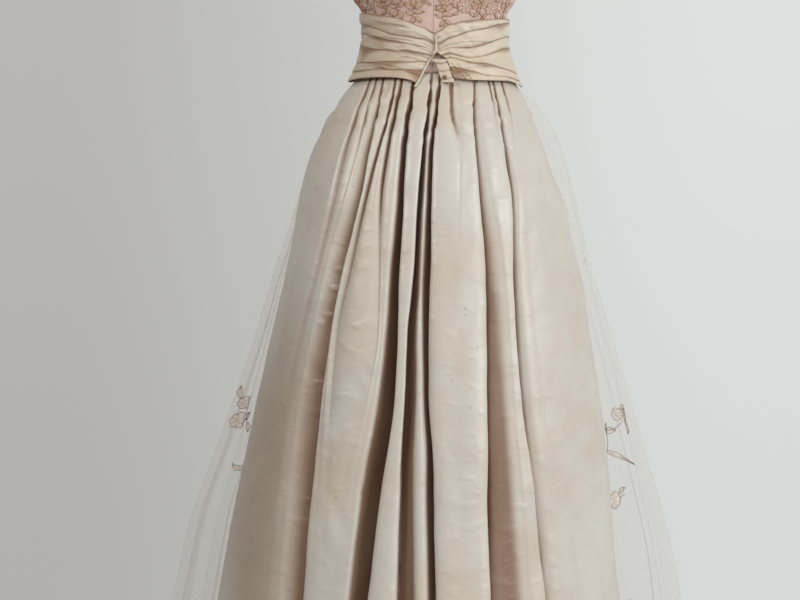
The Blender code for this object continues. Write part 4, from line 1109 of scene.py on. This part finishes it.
class Lace:
    """The thin shapes, cords and beads of one piece of lace, drawn flat in millimetres and laid on cloth."""

    def __init__(self, lay):
        self.lay = lay
        self.points, self.faces, self.kinds, self.count = [], [], [], 0

    def add(self, points, faces, kind):
        self.points.append(np.asarray(points).reshape(-1, 3))
        self.faces += [[index + self.count for index in face] for face in faces]
        self.kinds += [kind] * len(faces)
        self.count += len(self.points[-1])

    def sheet(self, grid):
        rows, columns = grid.shape[:2]
        self.add(self.lay(grid.reshape(-1, 3)), grid_faces(rows, columns), 0)

    def cord(self, path, radius=CORD_RADIUS, sides=4):
        path = np.asarray(path, float)
        if path.shape[1] == 2:
            path = np.concatenate([path, np.full((len(path), 1), 0.25)], 1)
        self.add(*tube(self.lay(path), radius, sides), 1)

    def bead(self, x, y, rise=0.9, radius=BEAD_RADIUS, kind=2):
        middle, out = self.lay(np.array([[x, y, rise], [x, y, rise + 1]]))
        tilt = np.linspace(0.15, math.pi - 0.15, 5)
        path = middle + (out - middle) / MM * (np.cos(tilt) * radius)[:, None]
        self.add(*tube(path, np.sin(tilt) * radius, 8), kind)

    def flower(self, x, y, size, turn):
        around = np.linspace(0, 2 * math.pi, 49)
        petal = np.abs(np.cos(4 * (around - turn)))
        edge = size * (0.76 + 0.24 * petal**0.6) * (1 + 0.06 * np.sin(2 * around + turn))
        notch = 1 + 0.04 * np.cos(24 * (around - turn))
        shares = np.array([0.1, 0.35, 0.65, 0.9, 1.0])[:, None]
        reach = shares * edge * np.where(shares > 0.8, notch, 1.0)
        rise = 0.7 * np.sin(np.pi * shares**0.8) * petal
        self.sheet(np.stack([x + reach * np.cos(around), y + reach * np.sin(around), rise], -1))
        outline = np.stack([x + reach[-1] * np.cos(around), y + reach[-1] * np.sin(around)], -1)
        self.cord(outline)
        for vein in range(8):
            way = turn + (vein + 0.5) * math.tau / 8
            lengths = np.linspace(0.2, 0.78, 5)[:, None] * size
            ray = lengths * np.array([math.cos(way), math.sin(way)])
            self.cord(np.array([x, y]) + ray, CORD_RADIUS * 0.7, 3)
            if vein % 2:
                self.bead(x + 0.28 * size * math.cos(way), y + 0.28 * size * math.sin(way))
        self.bead(x, y, 1.1, BEAD_RADIUS * 1.3)

    def leaf(self, start, end, wide):
        start, end = np.asarray(start, float), np.asarray(end, float)
        along = end - start
        beside = np.array([-along[1], along[0]])
        t = np.linspace(0, 1, 13)[:, None]
        spine = start + along * t + beside * 0.10 * np.sin(np.pi * t)
        half = wide * np.sin(np.pi * t**0.8) ** 0.9 * (1 + 0.10 * np.sin(14 * t))
        across = np.linspace(-1, 1, 7)[None, :]
        flat = spine[:, None] + (half * across)[..., None] * beside
        rise = 0.5 * (1 - np.abs(across)) * np.sin(np.pi * t) + 0 * across
        self.sheet(np.concatenate([flat, rise[..., None]], -1)[::-1])
        self.cord(spine[::2], CORD_RADIUS * 0.8)
        self.cord(np.concatenate([flat[:, 0], flat[::-1, -1]]))

    def spray(self, pattern, hand):
        for form, x, y, *rest in SPRAYS[pattern]:
            if form == "flower":
                turn = math.radians(rest[1] if hand > 0 else 180 - rest[1])
                self.flower(hand * x, y, rest[0], turn)
                continue
            start, end = np.array([hand * x, y]), np.array([hand * rest[0], rest[1]])
            if form != "stem":
                self.leaf(start, end, LEAF_WIDE if form == "leaf" else RIBBON_WIDE)
            else:
                t = np.linspace(0, 1, 7)[:, None]
                way = (end - start) * hand
                self.cord(start + (end - start) * t + np.array([-way[1], way[0]]) * 0.12 * np.sin(np.pi * t))

    def finish(self, name, materials, node=""):
        made = new_object(name, np.concatenate(self.points), self.faces, materials[0], node)
        for extra in materials[1:]:
            made.data.materials.append(extra)
        made.data.polygons.foreach_set("material_index", np.array(self.kinds, np.int32))
        return made


def on_bodice(turn, height, out):
    """Lays points, given across, up and out from a middle, on the bodice."""
    turn, height, step = np.array([math.radians(turn)]), np.array([height * MM]), 0.004
    aside = bodice_place(turn + step, height) - bodice_place(turn - step, height)
    upward = bodice_place(turn, height + step) - bodice_place(turn, height - step)
    per_turn, per_height = (np.linalg.norm(way) / 2 / step for way in (aside, upward))

    def lay(points):
        x, y, rise = np.asarray(points, float).T * MM
        lift = LINING_WALL + SHEER_GAP + out + rise
        return bodice_points(turn + x / per_turn, height + y / per_height, lift)

    return lay


def on_grid(grid, column, drop, wide):
    """Lays points, given across, up and out from a middle, on a sheet of cloth."""
    normals = grid_normals(grid)
    row = np.interp(drop * MM, -grid[:, 0, 2], np.arange(len(grid)))

    def at(rows, columns, values):
        rows = np.clip(rows, 0, grid.shape[0] - 1.001)
        columns = np.clip(columns, 0, grid.shape[1] - 1.001)
        r, c = rows.astype(int), columns.astype(int)
        s, t = (rows - r)[:, None], (columns - c)[:, None]
        above = values[r, c] * (1 - t) + values[r, c + 1] * t
        return above * (1 - s) + (values[r + 1, c] * (1 - t) + values[r + 1, c + 1] * t) * s

    rows, columns = [row, row, row - 2, row + 2], [column - 6, column + 6, column, column]
    ends = at(np.array(rows), np.array(columns), grid)
    per_column = np.linalg.norm(ends[1] - ends[0]) / 12
    per_row = np.linalg.norm(ends[3] - ends[2]) / 4

    def lay(points):
        x, y, rise = np.asarray(points, float).T * MM
        rows, columns = row - y / per_row, column + x * wide / per_column
        return at(rows, columns, grid) + unit(at(rows, columns, normals)) * (LACE_OUT + rise)[:, None]

    return lay


def build_lace(materials, overskirt_points):
    """All the lace, as a list of the pieces on the overskirt and on each part of the bodice's tulle."""
    made = {"overskirt": []}
    for pattern, hand, place, drop, node in OVERSKIRT_SPRAYS:
        column = place / OVERSKIRT_PARTS * (OVERSKIRT_COLUMNS - 1)
        lace = Lace(on_grid(overskirt_points, column, drop, 1.4 if node == "sprig_left" else 1.0))
        lace.spray(pattern, hand)
        if node == "sprig_left":
            lace.leaf((62, -84), (9, -81), 0.07)
            lace.leaf((50, -47), (51, -60), 0.35)
        for x, y in LOOSE_BEADS.get(node, ()):
            lace.bead(x, y, kind=1)
        made["overskirt"].append(lace.finish("lace_" + node, materials[3:], node))
    for sheer, sprays in BODICE_SPRAYS.items():
        made[sheer] = []
        for index, (pattern, hand, place, height, *node) in enumerate(sprays):
            lace = Lace(on_bodice(place, height, LACE_OUT + 0.00025 * (index % 3)))
            lace.spray(pattern, hand)
            name = node[0] + "_motif" if node else f"twig_{sheer[7:]}_{index}"
            made[sheer].append(lace.finish(name, materials[:3], *node))
    return made


def studio():
    """A plain room whose light is weaker from the left, two soft lamps, the floor and the camera."""
    scene = bpy.context.scene
    scene.world = bpy.data.worlds.new("studio")
    scene.world.use_nodes = True
    n = Nodes(scene.world.node_tree)
    x, y, z = n.add("SeparateXYZ", Vector=n.add("TexCoord").outputs["Generated"]).outputs
    turned = n.plus(n.times(x, 0.8), n.times(z, 0.5))
    room = n.mix(n.range(turned, -0.75, 0.85), (0.062, 0.036, 0.024, 1), (0.72, 0.72, 0.71, 1))
    wall = n.mix(n.range(x, -0.16, 0.16), (0.48, 0.475, 0.45, 1), (0.735, 0.755, 0.745, 1))
    wall = n.mix(n.range(z, -0.14, 0.14, 1.0, 0.0), wall, (0.92, 0.92, 0.92, 1), "MULTIPLY")
    ahead = n.range(y, 0.15, 0.85)
    seen = n.add("LightPath").outputs["Is Camera Ray"]
    n.put(n.tree.nodes["Background"].inputs["Color"], n.mix(n.math("MAXIMUM", ahead, seen), room, wall))
    for name, place, target, size, power, tint in (
        ("window", (2.8, -2.8, 1.0), (0, 0, -0.35), 1.9, 76, (1.0, 0.99, 0.975)),
        ("left_fill", (-1.25, -1.3, 0.75), (-0.24, -0.08, 0.0), 0.6, 14, (1.0, 0.95, 0.89)),
    ):
        lamp = bpy.data.lights.new(name, "AREA")
        lamp.size, lamp.energy, lamp.color = size, power, tint
        lamp = add_object(name, lamp, place)
        lamp.visible_camera = False
        lamp.rotation_euler = (Vector(target) - lamp.location).to_track_quat("-Z", "Y").to_euler()
    turn = np.linspace(0, math.tau, FLOOR_SIDES, endpoint=False)
    rim = np.stack([np.cos(turn), np.sin(turn), 0 * turn], -1) * FLOOR_RADIUS
    mesh = bpy.data.meshes.new("floor")
    mesh.from_pydata(rim.tolist(), [], [list(range(FLOOR_SIDES))])
    paper, n = new_material("floor_paper")
    tone = n.noise(n.place(), 3.0, 2.0)
    n.shade(Base_Color=n.mix(tone, colour(200, 200, 196), colour(192, 192, 187)), Roughness=0.85)
    mesh.materials.append(paper)
    add_object("floor", mesh, (0, 0.05, -HEM_DROP - FLOOR_GAP))
    camera = bpy.data.cameras.new("photo_view")
    camera.sensor_width = SENSOR_WIDTH
    camera.lens = SENSOR_WIDTH * CAMERA_AWAY / VIEW_WIDTH
    scene.camera = add_object("photo_view", camera, (-0.055, -CAMERA_AWAY, -0.3485))
    scene.camera.rotation_euler = (math.radians(90), 0, 0)
    scene.view_settings.view_transform = "Standard"
    scene.cycles.transparent_max_bounces = 24


studio()
# The third colour of each satin is the tint of its painted shade.
skirt_satin = satin_material(
    "skirt_satin_cloth", colour(205, 202, 192), colour(197, 181, 167), (0.46, 0.31, 0.24, 1),
    -0.7, (30.0, 52.0, 1.0), 0.0009, STAINS,
)
sash_satin = satin_material(
    "sash_satin_cloth", colour(216, 207, 190), colour(200, 182, 160), (0.46, 0.31, 0.22, 1),
    0.08, (13.0, 70.0, 1.0), 0.0035,
)
overskirt_net = sheer_material("overskirt_net", colour(250, 248, 242), 0.15, 0.5)
bodice_net = sheer_material("bodice_net", colour(238, 216, 200), 0.16, 0.3)
pink_lining = lining_material()

build_satin(skirt_satin)
overskirt_points = overskirt_grid()
overskirt = cloth("tulle_overskirt", overskirt_points, overskirt_net, "overskirt", 0)
sheers = build_bodice(pink_lining, bodice_net)
thread = lace_material("sewing_thread", colour(172, 144, 118), colour(148, 120, 94))
edging = lace_material("tulle_edging", colour(236, 230, 220), colour(222, 214, 202), 0.8)
build_sash(sash_satin, thread)
beads = bead_material()
lace = build_lace(
    [
        lace_material("bodice_lace", colour(238, 211, 192), colour(222, 192, 168), 0.75),
        lace_material("bodice_lace_cord", colour(196, 154, 126), colour(172, 128, 100)),
        beads,
        lace_material("overskirt_lace", colour(244, 226, 212), colour(230, 208, 192), 0.55),
        lace_material("overskirt_lace_cord", colour(128, 104, 86), colour(98, 74, 58)),
        beads,
    ],
    overskirt_points,
)
edges = [overskirt_points[-1], overskirt_points[:, 0], overskirt_points[:, -1]]
lace["overskirt"].append(cord_piece("overskirt_edges", edges, 0.0007, edging, 5))
for name, (sheer, sheer_points) in sheers.items():
    lace[name].append(cord_piece(name + "_top_cord", [sheer_points[0]], 0.0011, pink_lining))
for name, panel, column in (("left", "bodice_side_left", -1), ("right", "bodice_side_right", 0)):
    seam = bodice_grid(panel, LINING_WALL + SHEER_GAP)[:, column]
    lace["bodice_tulle_" + name].append(cord_piece("seam_cord_" + name, [seam], 0.0005, thread))
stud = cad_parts["snap"]
stud.data.materials.clear()
stud.data.materials.append(stud_material())
declare(overskirt_points, lace["overskirt"])
for name, (sheer, sheer_points) in sheers.items():
    declare(sheer_points, lace[name])
